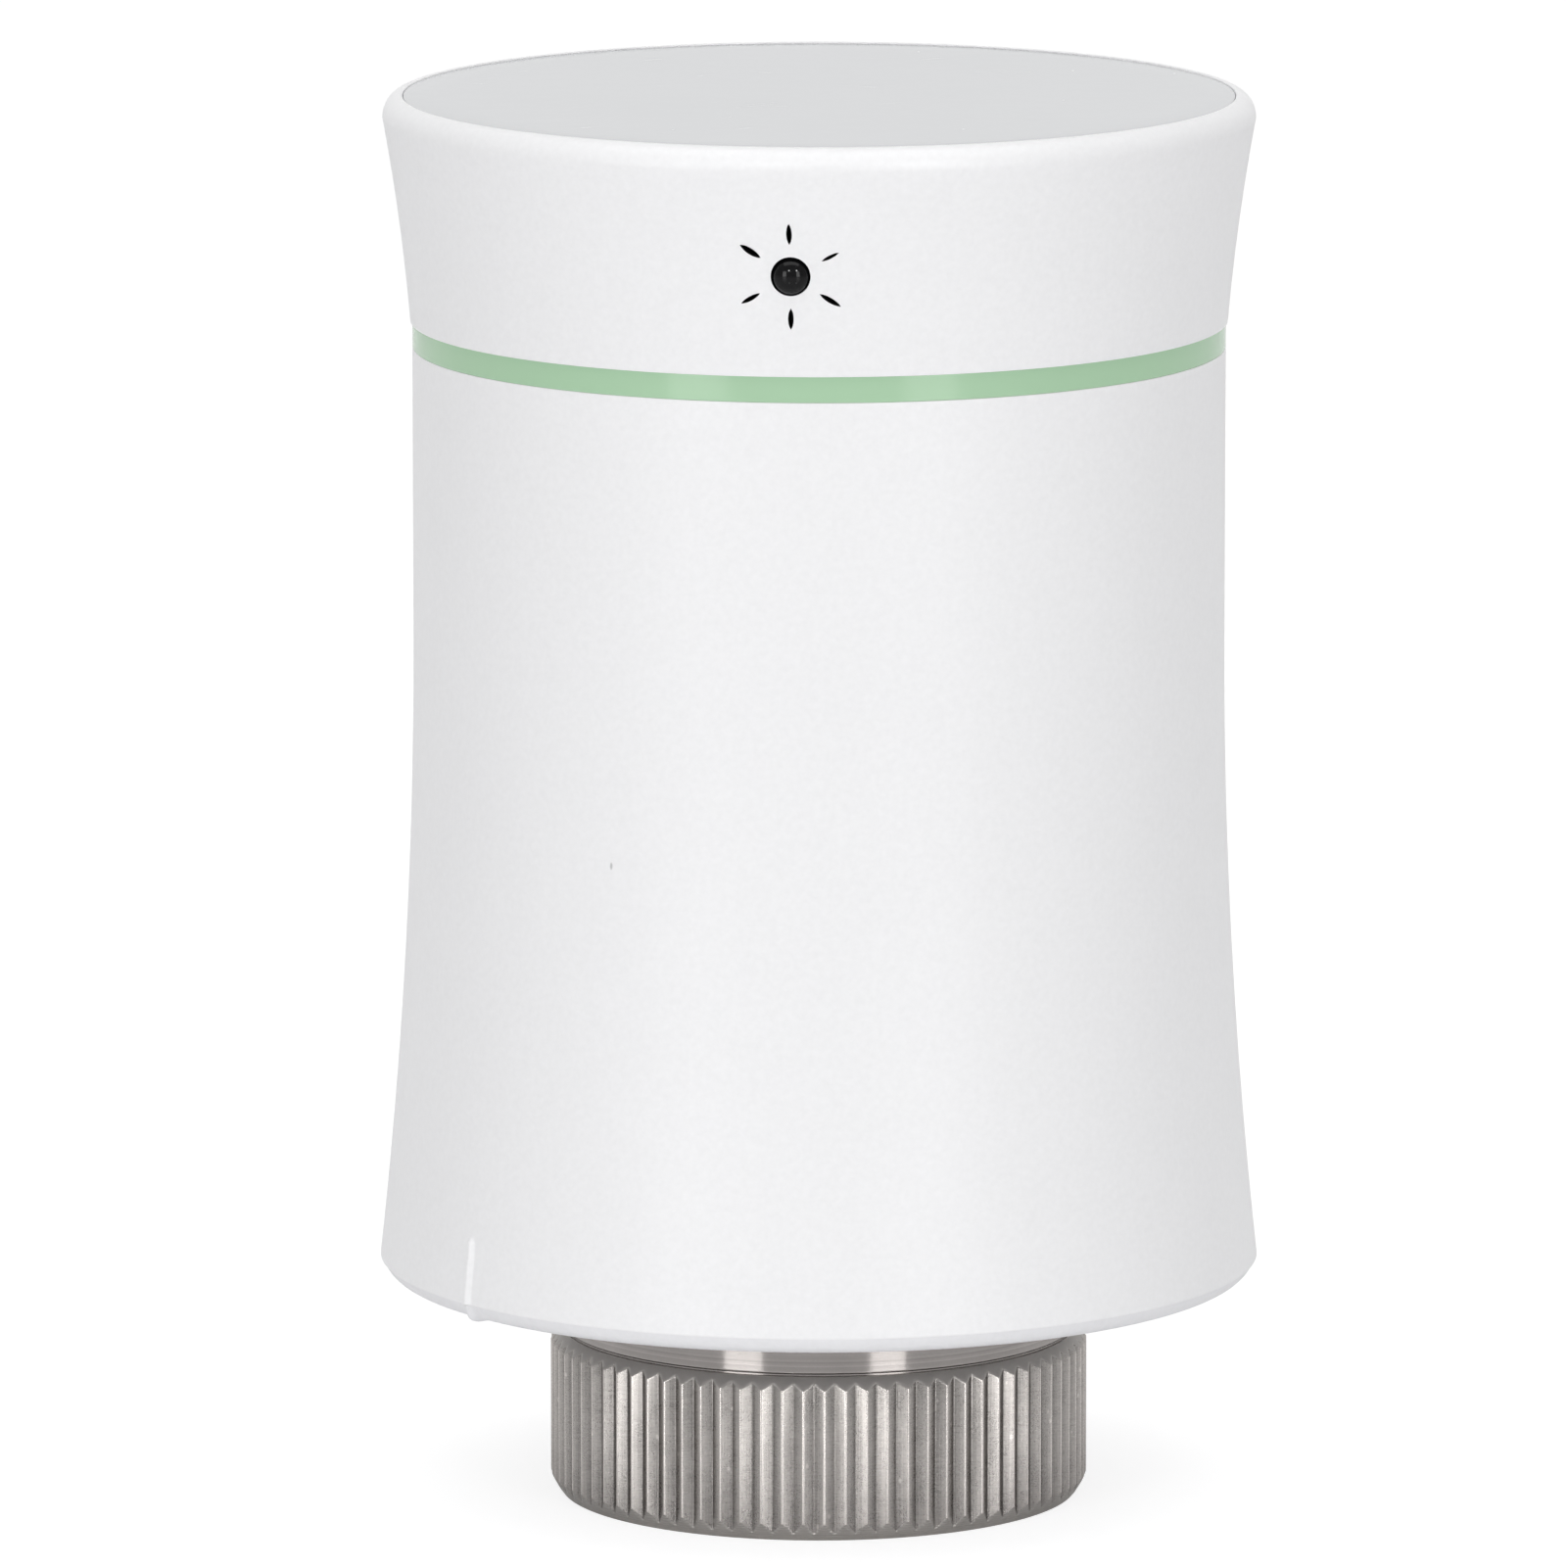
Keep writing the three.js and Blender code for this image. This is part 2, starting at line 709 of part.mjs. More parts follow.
function gearboxScrew(place, index) {
  const headTopHeight = floorBottom - seam;
  const headFoot = headTopHeight - screwHeadHeight;
  const solid = joined(rod(screwHeadRadius, headFoot, headTopHeight), pin(screwRadius, headFoot, screwEnd));
  return standing(`gearbox_screw_${index + 1}`, solid, steel, place);
}

/** Pressure foot, neck, screw and square guide in one piece. It can only slide. */
function plunger() {
  const footTop = footBottom + footThickness;
  const threadEnd = screwTop - plungerEdge;
  const body = revolve([
    [0, footBottom],
    [footRadius - plungerEdge, footBottom],
    [footRadius, footBottom + plungerEdge],
    [footRadius, footTop],
    [plungerNeckRadius, footTop + plungerEdge],
    [plungerNeckRadius, plungerNeckTop],
    [spindleScrewRadius, plungerNeckTop],
    [spindleScrewRadius, threadEnd],
    [guideSquare / 2, screwTop],
    [0, screwTop],
  ], smallSegments);
  const square = block(
    [guideSquare, guideSquare, squareTop - threadEnd],
    [0, 0, (squareTop + threadEnd) / 2],
  );
  return piece('plunger', joined(body, square), brass);
}

// ---------------------------------------------------------------- Union nut and collar

/** Height on a chamfer cone, from one end of the cone to the other, where it has a radius. */
const onCone = ([r0, z0], [r1, z1], radius) => z0 + (z1 - z0) * (radius - r0) / (r1 - r0);

/** The nut's outside: rings of crest and valley columns, closed by a fan at each end. */
function knurledBlank() {
  const columns = 2 * nutTeeth;
  const foot = [nutFootRadius, 0];
  const crestFoot = [nutCrestRadius, nutFootChamfer[1]];
  const crestHead = [nutCrestRadius, neckStart - nutNeckChamfer[1]];
  const neck = [neckRadius, neckStart];
  const rings = [
    [foot, foot],
    [crestFoot, [nutValleyRadius, onCone(foot, crestFoot, nutValleyRadius)]],
    [crestHead, [nutValleyRadius, onCone(neck, crestHead, nutValleyRadius)]],
    [neck, neck],
  ];
  const positions = [];
  for (const [crest, valley] of rings) {
    for (let column = 0; column < columns; column += 1) {
      const [radius, z] = column % 2 === 0 ? crest : valley;
      const angle = 2 * Math.PI * (column + 0.5) / columns;
      positions.push(radius * Math.cos(angle), radius * Math.sin(angle), z);
    }
  }
  const bottomCentre = positions.length / 3;
  const topCentre = bottomCentre + 1;
  positions.push(0, 0, 0, 0, 0, neckStart);
  const indices = [];
  const topRing = (rings.length - 1) * columns;
  for (let column = 0; column < columns; column += 1) {
    const next = (column + 1) % columns;
    for (let ring = 0; ring < rings.length - 1; ring += 1) {
      const here = ring * columns;
      const above = here + columns;
      indices.push(here + column, here + next, above + next);
      indices.push(here + column, above + next, above + column);
    }
    indices.push(bottomCentre, next, column);
    indices.push(topCentre, topRing + column, topRing + next);
  }
  const geometry = new THREE.BufferGeometry();
  geometry.setAttribute('position', new THREE.Float32BufferAttribute(positions, 3));
  geometry.setIndex(indices);
  return toSolid(geometry);
}

function unionNut() {
  const chamferRadius = threadMinorRadius + threadChamfer;
  const inside = revolve([
    [0, -passage],
    [chamferRadius + passage, -passage],
    [threadMinorRadius, threadChamfer],
    [threadMinorRadius, seatHeight - gap],
    [nutReliefRadius, seatHeight - gap],
    [nutReliefRadius, flangeTop + gap],
    [collarHoleRadius, flangeTop + gap],
    [collarHoleRadius, nutHeight + passage],
    [0, nutHeight + passage],
  ], innerSegments);
  const neck = tube(0, neckRadius, nutFootChamfer[1], nutHeight, outerSegments);
  return piece('union_nut', cut(joined(knurledBlank(), neck), inside), nickel);
}

/** Tube whose flange carries the nut's lip and seats on the valve. */
function valveCollar() {
  const clipTop = clipBottom + clipThickness;
  const grooveRadius = clipInnerRadius - seam;
  const solid = revolve([
    [collarBoreRadius, seatHeight],
    [collarFlangeRadius, seatHeight],
    [collarFlangeRadius, flangeTop],
    [collarTubeRadius, flangeTop],
    [collarTubeRadius, clipBottom - seam],
    [grooveRadius, clipBottom - seam],
    [grooveRadius, clipTop + seam],
    [collarTubeRadius, clipTop + seam],
    [collarTubeRadius, collarTop],
    [collarBoreRadius, collarTop],
  ], innerSegments);
  return piece('valve_collar', solid, nickel);
}

/** An open ring that snaps into the collar's groove above the plate. */
function retainingClip() {
  const solid = sector(
    clipInnerRadius,
    clipInnerRadius + clipWidth,
    clipBottom,
    clipBottom + clipThickness,
    bayonetFirstAngle,
    360 - clipMouth,
    clipSteps,
  );
  return piece('retaining_clip', solid, springSteel);
}

// ---------------------------------------------------------------- Backplate and sleeve

const bayonetAngles = copies(bayonetCount, (i) => bayonetFirstAngle + i * 360 / bayonetCount);

/** A raised bar of constant width that follows an outline of [radius, height] points. */
function ribBar(outline) {
  const shape = new THREE.Shape(outline.map(([r, z]) => new THREE.Vector2(r, z)));
  const geometry = new THREE.ExtrudeGeometry(shape, { depth: ribWidth, bevelEnabled: false });
  geometry.translate(0, 0, -ribWidth / 2);
  geometry.rotateX(Math.PI / 2);
  geometry.rotateZ(degrees(ribAngle));
  return toSolid(geometry);
}

/** Foot plate: rounded lip, collar hole, and an upstanding ring with bayonet lugs. */
function backplate() {
  const filletRadius = lipRadius - lipFillet;
  const filletHeight = plateBottom + lipFillet;
  const from = -Math.PI / 2;
  const to = Math.asin((lipTop - filletHeight) / lipFillet);
  const fillet = copies(lipFilletSteps + 1, (i) => {
    const angle = from + (to - from) * i / lipFilletSteps;
    return [filletRadius + lipFillet * Math.cos(angle), filletHeight + lipFillet * Math.sin(angle)];
  });
  const plate = revolve([
    [collarHoleRadius, plateBottom],
    ...fillet,
    [lipStepRadius, lipTop],
    [lipStepRadius, plateTop],
    [collarHoleRadius, plateTop],
  ], outerSegments);
  const ring = tube(bayonetInner, bayonetOuter, plateTop - overlapDepth, lugTop, outerSegments);
  const lugs = bayonetAngles.map((angle) => sector(
    bayonetOuter - overlapDepth,
    bayonetOuter + bayonetLugReach,
    lugBottom,
    lugTop,
    angle,
    bayonetLugAngle,
  ));
  const ribFoot = plateBottom + ribFootHeight;
  const ribOuter = lipRadius + ribProud;
  const rib = ribBar([
    [filletRadius, ribFoot],
    [lipRadius - overlapDepth, ribFoot],
    [ribOuter, lipTop - ribProud],
    [ribOuter, lipTop],
    [filletRadius, lipTop],
  ]);
  return piece('backplate', joined(plate, ring, rib, ...lugs), whiteShell);
}

/** Outer shell with inward ledges that hook under the backplate's lugs, each with a stop. */
function outerSleeve() {
  const flare = (steps) => copies(steps + 1, (i) => {
    const z = sleeveBottom + flareHeight * (i / steps) ** flareSpacing;
    return [sleeveOuter(z), z];
  });
  const outline = [
    ...flare(flareSteps),
    [sleeveRadius, sleeveTop],
    [sleeveBoreRadius, sleeveTop],
    ...flare(flareSteps - 2).reverse().map(([r, z]) => [r - sleeveWall, z]),
  ];
  const root = sleeveOuter(lugTop) - sleeveWall + overlapDepth;
  const ledgeBottom = plateTop + gap;
  const stopEdge = bayonetLugAngle / 2 + bayonetStopAngle / 2;
  const ledges = bayonetAngles.flatMap((angle) => {
    const from = angle - stopEdge - bayonetStopAngle;
    const to = angle + bayonetLedgeAngle / 2;
    return [
      sector(ledgeInner, root, ledgeBottom, ledgeTop, (from + to) / 2, to - from),
      sector(ledgeInner, root, ledgeBottom, lugTop, from + bayonetStopAngle / 2, bayonetStopAngle, 2),
    ];
  });
  const ribTop = sleeveBottom + ribRise;
  const ribShoulder = ribTop - ribRunOut;
  const ribRoot = sleeveOuter(ribTop) - overlapDepth;
  const rib = ribBar([
    [ribRoot, sleeveBottom],
    [sleeveOuter(sleeveBottom) + ribProud, sleeveBottom],
    [sleeveOuter(ribShoulder) + ribProud, ribShoulder],
    [sleeveOuter(ribTop), ribTop],
    [ribRoot, ribTop],
  ]);
  return piece('outer_sleeve', joined(revolve(outline, outerSegments), rib, ...ledges), whiteShell);
}

function accentRing() {
  return piece(
    'accent_ring',
    tube(sleeveBoreRadius, sleeveRadius, accentBottom, accentTop, outerSegments),
    greenTrim,
  );
}

// ---------------------------------------------------------------- Jog ring and sensor

/** A bar along the sensor's axis, from the outline of its cross-section. */
function sensorBar(shape, from, to, steps) {
  const geometry = new THREE.ExtrudeGeometry(shape, {
    depth: to - from,
    bevelEnabled: false,
    curveSegments: steps,
  });
  geometry.translate(0, 0, from);
  geometry.rotateY(Math.PI / 2);
  geometry.rotateZ(degrees(sensorAngle));
  geometry.translate(0, 0, sensorHeight);
  return toSolid(geometry);
}

function circleShape(radius) {
  const shape = new THREE.Shape();
  shape.absarc(0, 0, radius, 0, 2 * Math.PI, false);
  return shape;
}

/** Pointed ellipse, with its long axis towards the sensor. */
function ventShape(index) {
  const angle = 2 * Math.PI * index / ventCount;
  const along = new THREE.Vector2(Math.cos(angle), Math.sin(angle));
  const across = new THREE.Vector2(-along.y, along.x);
  const at = (distance, side) => along.clone().multiplyScalar(ventCircle + distance)
    .addScaledVector(across, side);
  const half = ventLength / 2;
  const bulge = ventWidth / 2;
  const shoulder = bulge * ventFullness;
  return new THREE.Shape([
    at(-half, 0),
    at(-half / 2, -shoulder),
    at(0, -bulge),
    at(half / 2, -shoulder),
    at(half, 0),
    at(half / 2, shoulder),
    at(0, bulge),
    at(-half / 2, shoulder),
  ]);
}

/** Flared head that turns on the head frame's flange. */
function jogRing() {
  const flare = copies(headSteps + 1, (i) => headBottom + (rimStart - headBottom) * i / headSteps);
  const round = copies(rimRoundSteps, (i) => {
    const angle = Math.PI / 2 * (i + 1) / rimRoundSteps;
    return [crestRadius + rimRoundWidth * Math.cos(angle), rimStart + rimRoundHeight * Math.sin(angle)];
  });
  const shelf = displayBottom - gap;
  const rebateTop = flangeUpper + gap;
  const rebateRadius = frameRadius + frameFlangeReach + gap;
  const wallAt = (z) => Math.max(headOuter(z) - headWall, sleeveBoreRadius);
  const outline = [
    ...flare.map((z) => [headOuter(z), z]),
    ...round,
    [rimInner, headTop - rimLand],
    [rimInner, shelf],
    [wallAt(shelf), shelf],
    [sleeveBoreRadius, rebateTop],
    [rebateRadius, rebateTop],
    [rebateRadius, headBottom],
  ];
  const tab = sector(
    magnetCircle - jogTabReach + magnetRadius,
    wallAt(tabTop) + overlapDepth,
    tabBottom,
    tabTop,
    0,
    jogTabAngle,
    2,
  );
  const magnetHole = pin(magnetRadius + gap, magnetBottom - seam, tabTop + passage, magnetPlace);
  const reach = [frameRadius, rimRadius + passage];
  const hole = sensorBar(circleShape(sensorRadius + seam), ...reach, 5);
  const vents = copies(ventCount, (i) => sensorBar(ventShape(i), ...reach, 1));
  const shell = revolve(outline, outerSegments);
  return piece('jog_ring', cut(joined(shell, tab), magnetHole, hole, ...vents), whiteShell);
}

/** Domed lens in the jog ring's hole. */
function sensorLens() {
  const face = headOuter(sensorHeight);
  const back = face - headWall;
  const dome = copies(4, (i) => {
    const angle = Math.PI / 2 * i / 3;
    return [sensorRadius * Math.cos(angle), face - sensorDomeRise + 2 * sensorDomeRise * Math.sin(angle)];
  });
  const outline = [[0, back], [sensorRadius, back], ...dome];
  const points = outline.map(([r, z]) => new THREE.Vector2(r, z));
  const geometry = new THREE.LatheGeometry(points, smallSegments);
  geometry.rotateZ(-Math.PI / 2);
  geometry.rotateZ(degrees(sensorAngle));
  geometry.translate(0, 0, sensorHeight);
  return piece('sensor_lens', toSolid(geometry), blackLens);
}

function jogMagnet() {
  return standing('jog_magnet', pin(magnetRadius, magnetBottom, tabTop), springSteel, magnetPlace);
}

// ---------------------------------------------------------------- Head frame and display

/** Carrier in the head: enters the sleeve, bears the jog ring and holds the display. */
function headFrame() {
  const shell = revolve([
    [frameBoreRadius, sleeveTop - frameEntry],
    [frameRadius, sleeveTop - frameEntry],
    [frameRadius, headBottom],
    [frameRadius + frameFlangeReach, headBottom],
    [frameRadius + frameFlangeReach, flangeUpper],
    [frameRadius, flangeUpper],
    [frameRadius, frameTop],
    [frameBoreRadius, frameTop],
    [frameBoreRadius, frameFloorTop],
    [0, frameFloorTop],
    [0, frameFloorBottom],
    [frameBoreRadius, frameFloorBottom],
  ], innerSegments);
  const tabWindow = sector(
    frameBoreRadius - overlapDepth,
    frameRadius + overlapDepth,
    tabBottom - gap,
    tabTop + seam,
    0,
    2 * (jogTurn + tabHalfAngle + jogPlay),
    8,
  );
  const sensorWindow = sensorBar(
    circleShape(sensorWindowRadius),
    frameBoreRadius - passage,
    frameRadius + passage,
    5,
  );
  const cableSlot = block(
    [cableSlotWidth, cableSlotDepth, frameFloorThickness + 2 * passage],
    [0, -cellSetback, (frameFloorTop + frameFloorBottom) / 2],
  );
  return piece('head_frame', cut(shell, tabWindow, sensorWindow, cableSlot), greyPlastic);
}

function displayLens() {
  const solid = revolve([
    [0, displayBottom],
    [displayRadius, displayBottom],
    [displayRadius, displayTop - displayEdge],
    [displayRadius - displayEdge, displayTop],
    [0, displayTop],
  ], outerSegments);
  return piece('display_lens', solid, greyLens);
}

function displayPanel() {
  return piece('display_panel', block(panelSize, [0, 0, panelTop - panelSize[2] / 2]), chipBlack);
}

function displayBoard() {
  const radius = frameBoreRadius - displayBoardInset;
  const bottom = displayBoardTop - displayBoardThickness;
  return piece(
    'display_board',
    rod(radius, bottom, displayBoardTop, spindlePlace, innerSegments),
    boardGreen,
  );
}

/** Open wire ring whose bent ends stand on either side of the jog ring's tab. */
function jogSpring() {
  const mouth = degrees(jogTurn + tabHalfAngle + springPlay) + springWire / springRadius;
  class SpringPath extends THREE.Curve {
    getPoint(t, target = new THREE.Vector3()) {
      const angle = mouth + (2 * Math.PI - 2 * mouth) * t;
      return target.set(springRadius * Math.cos(angle), springRadius * Math.sin(angle), 0);
    }
  }
  const wire = new THREE.Shape(copies(springSides, (i) => onCircle(springWire, i * 360 / springSides)));
  const loop = new THREE.ExtrudeGeometry(wire, { steps: springSteps, extrudePath: new SpringPath() });
  const legs = [mouth, -mouth].map((angle) => {
    const leg = new THREE.CylinderGeometry(springWire, springWire, springLeg, springSides);
    leg.rotateZ(Math.PI / 2);
    leg.translate(springRadius + springLeg / 2 - springWire, 0, 0);
    leg.rotateZ(angle);
    return toSolid(leg);
  });
  const mesh = piece('jog_spring', joined(toSolid(loop), ...legs), springSteel);
  mesh.position.set(0, 0, springHeight);
  return mesh;
}

// ---------------------------------------------------------------- Cells, cradle and contacts

const cradleFront = cellSetback - cellRadius - gap - cradleWall;

/** Half-open trough for two upright cells, open to the back. */
function batteryCradle() {
  const halfWidth = cellX + cellRadius + gap + cradleWall;
  const whole = block(
    [2 * halfWidth, cradleRadius, cradleTop - cradleBottom],
    [0, cradleFront + cradleRadius / 2, (cradleTop + cradleBottom) / 2],
  ).intersect(rod(cradleRadius, cradleBottom, cradleTop, spindlePlace, outerSegments));
  const troughBottom = cradleBottom + cradleFloor;
  const troughs = [-cellX, cellX].map((x) => rod(
    cellRadius + gap,
    troughBottom,
    cradleRoofBottom,
    new THREE.Vector2(x, cellSetback),
    innerSegments,
  ));
  const openBack = block(
    [2 * halfWidth + passage, cradleRadius, cradleRoofBottom - troughBottom],
    [0, cellSetback + cradleRadius / 2, (cradleRoofBottom + troughBottom) / 2],
  );
  const bridgeRoom = block(
    [2 * cellX, contactWidth + 2 * gap, cellBottom - troughBottom],
    [0, cellSetback, (cellBottom + troughBottom) / 2],
  );
  const towerRoom = rod(towerRadius + gap, cradleBottom - passage, guideTop + gap);
  const plungerRoom = rod(spindleScrewRadius + gap, guideTop, squareTop + passage);
  return piece(
    'battery_cradle',
    cut(whole, ...troughs, openBack, bridgeRoom, towerRoom, plungerRoom),
    darkPlastic,
  );
}

/** One AA cell; `flip` stands it on its button end. */
function cell(name, x, flip) {
  const shoulder = cellLength - cellNubHeight;
  const outline = [
    [0, 0],
    [cellRadius - cellEdge, 0],
    [cellRadius, cellEdge],
    [cellRadius, shoulder - cellEdge],
    [cellRadius - cellEdge, shoulder],
    [cellNubRadius, shoulder],
    [cellNubRadius, cellLength],
    [0, cellLength],
  ];
  const mesh = piece(name, revolve(outline, cellSegments), cellJacket);
  mesh.rotation.set(flip ? Math.PI : 0, 0, 0);
  mesh.position.set(x, cellSetback, flip ? cellTop : cellBottom);
  return mesh;
}

function contacts() {
  const lower = cellBottom - gap - contactThickness / 2;
  const upper = cellTop + gap + contactThickness / 2;
  const single = [contactWidth, contactWidth, contactThickness];
  const bridge = [2 * cellX + contactWidth, contactWidth, contactThickness];
  return [
    piece('cell_bridge', block(bridge, [0, cellSetback, lower]), springSteel),
    piece('contact_positive', block(single, [-cellX, cellSetback, upper]), springSteel),
    piece('contact_negative', block(single, [cellX, cellSetback, upper]), springSteel),
  ];
}

// ---------------------------------------------------------------- Boards

const boardMiddle = cradleFront - gap - boardThickness / 2;
const boardFace = boardMiddle - boardThickness / 2 - gap;
const boardTop = cradleTop - gap;
const mainBoardHeight = boardTop - squareTop - boardFootGap;

/** The board in front of the cradle, with the ear that reaches out to the jog magnet. */
function mainBoard() {
  const panel = block(
    [mainBoardWidth, boardThickness, mainBoardHeight],
    [0, boardMiddle, boardTop - mainBoardHeight / 2],
  );
  const earLeft = mainBoardWidth / 2 - overlapDepth;
  const earRight = mainBoardWidth / 2 + boardEarWidth;
  const ear = block(
    [earRight - earLeft, boardThickness, boardEarHeight],
    [(earLeft + earRight) / 2, boardMiddle, boardTop - boardEarHeight / 2],
  );
  return piece('main_board', joined(panel, ear), boardGreen);
}

/** A component on the main board's front face. */
function component(name, [width, depth, height], x, z, material) {
  return piece(name, block([width, depth, height], [x, boardFace - depth / 2, z]), material);
}

function sensorBoard() {
  const place = onCircle(frameBoreRadius - 2 * gap - sensorBoardSize[1], sensorAngle);
  const mesh = piece('sensor_board', block(sensorBoardSize, [0, 0, 0]), boardGreen);
  mesh.position.set(place.x, place.y, sensorHeight - gap);
  mesh.rotation.z = degrees(sensorAngle + 90);
  return mesh;
}

function boards() {
  const hallX = mainBoardWidth / 2 + boardEarWidth - hallSize[0] / 2;
  return [
    mainBoard(),
    component('radio_module', radioSize, 0, boardTop - radioSize[2], steel),
    component('motor_driver', driverSize, 0, boardTop - mainBoardHeight + driverSize[2], chipBlack),
    component('jog_sensor', hallSize, hallX, boardTop - hallSize[2], chipBlack),
    sensorBoard(),
  ];
}

// ---------------------------------------------------------------- Assembly

/** A group named after the part of the product that its pieces belong to. */
function assembly(name, ...pieces) {
  const group = new THREE.Group();
  group.name = name;
  group.add(...pieces);
  return group;
}

const thermostat = assembly(
  'radiator_thermostat',
  assembly('valve_side', unionNut(), valveCollar(), retainingClip(), backplate()),
  assembly('shell', outerSleeve(), accentRing()),
  assembly('head', jogRing(), sensorLens(), jogMagnet(), headFrame(), jogSpring()),
  assembly('display', displayLens(), displayPanel(), displayBoard()),
  assembly(
    'drive',
    plunger(),
    spindleGear(),
    thrustWasher(),
    compoundGear('gear_2', gear2Place, 0, gear2PinionPhase),
    compoundGear('gear_1', gear1Place, 1, gear1PinionPhase),
    axle('axle_2', gear2Place),
    axle('axle_1', gear1Place),
    motorPinion(),
    motorShaft(),
    motor(),
    gearboxBase(),
    gearboxCover(),
    ...screwPlaces.map(gearboxScrew),
  ),
  assembly(
    'power',
    batteryCradle(),
    cell('cell_left', -cellX, false),
    cell('cell_right', cellX, true),
    ...contacts(),
  ),
  assembly('electronics', ...boards()),
);

export default thermostat;
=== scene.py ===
"""Visual model of a battery-powered radiator thermostat head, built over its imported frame.

Lengths are millimetres and angles are degrees unless a name says otherwise. Azimuth 0 is +X and
the front is at -90. Heights and radii that the frame knows are read from it.
"""

import logging
import math
from abc import ABC, abstractmethod
from collections.abc import Callable, Iterable, Sequence
from dataclasses import dataclass
from enum import Enum, IntEnum
from functools import cache

import bmesh
import bpy
import numpy as np
from mathutils import Matrix, Vector


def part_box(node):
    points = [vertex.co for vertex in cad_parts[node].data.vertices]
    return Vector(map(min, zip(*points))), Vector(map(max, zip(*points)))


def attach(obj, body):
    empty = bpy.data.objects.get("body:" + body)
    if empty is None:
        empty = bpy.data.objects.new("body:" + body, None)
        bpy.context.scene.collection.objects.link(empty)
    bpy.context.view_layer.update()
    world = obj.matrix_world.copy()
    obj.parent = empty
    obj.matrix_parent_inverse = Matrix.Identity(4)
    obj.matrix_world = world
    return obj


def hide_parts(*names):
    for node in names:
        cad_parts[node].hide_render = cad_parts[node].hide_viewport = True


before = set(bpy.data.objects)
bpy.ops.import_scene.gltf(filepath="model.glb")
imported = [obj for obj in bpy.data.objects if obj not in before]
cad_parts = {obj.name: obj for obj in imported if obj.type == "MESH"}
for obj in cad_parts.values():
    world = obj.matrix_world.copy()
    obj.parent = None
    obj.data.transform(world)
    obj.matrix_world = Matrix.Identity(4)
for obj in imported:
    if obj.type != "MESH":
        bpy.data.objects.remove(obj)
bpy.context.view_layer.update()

MM = 0.001
FRONT = -90.0
CREASE = 34.0  # edges sharper than this stay sharp
WELD = 1e-7  # metres
NOISE_MEAN = 0.5

log = logging.getLogger("thermostat")

Triple = tuple[float, float, float]
Colour = Triple
Point = tuple[float, float]


# ---------------------------------------------------------------------- Frame measures


@dataclass(frozen=True)
class Extent:
    """How far a frame node reaches, in millimetres."""

    low: Triple
    high: Triple

    @classmethod
    def of(cls, node: str) -> "Extent":
        """Measures a node by name."""
        low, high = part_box(node)
        return cls(tuple(value / MM for value in low), tuple(value / MM for value in high))

    @property
    def bottom(self) -> float:
        """Height of the lowest point."""
        return self.low[2]

    @property
    def top(self) -> float:
        """Height of the highest point."""
        return self.high[2]

    @property
    def radius(self) -> float:
        """Outer radius of a node that is round about the Z axis."""
        return self.high[0]

    @property
    def centre(self) -> np.ndarray:
        """Middle of the box."""
        return (np.array(self.low) + np.array(self.high)) / 2


class Body(Enum):
    """Moving bodies of the frame."""

    MAIN = "main_unit"
    JOG = "jog_ring"
    VALVE = "valve_adapter"
    NUT = "union_nut"
    PLUNGER = "plunger"


class Slot(Enum):
    """Material slots of the part's record."""

    WHITE_SHELL = "white_shell"
    DISPLAY = "display_grey"
    ACCENT = "accent_green"
    SENSOR = "sensor_black"
    NICKEL = "nickel_plate"
    STEEL = "steel"
    SPRING = "spring_steel"
    CHASSIS = "chassis_grey"
    CRADLE = "cradle_dark"
    GEAR = "gear_natural"
    BRASS = "brass"
    BOARD = "board_green"
    CHIP = "chip_black"
    JACKET = "cell_jacket"


class Columns(IntEnum):
    """How many columns of faces go round a turn."""

    FINEST = 360
    SMOOTH = 288
    TURNED = 192
    HIDDEN = 180
    SLENDER = 96
    LENS = 64
    HOLE = 32


class NutFace(IntEnum):
    """Places of the union nut's finishes in its list."""

    KNURL = 0
    CHAMFER = 1
    NECK = 2
    BORE = 3


# ---------------------------------------------------------------------- Shader graph


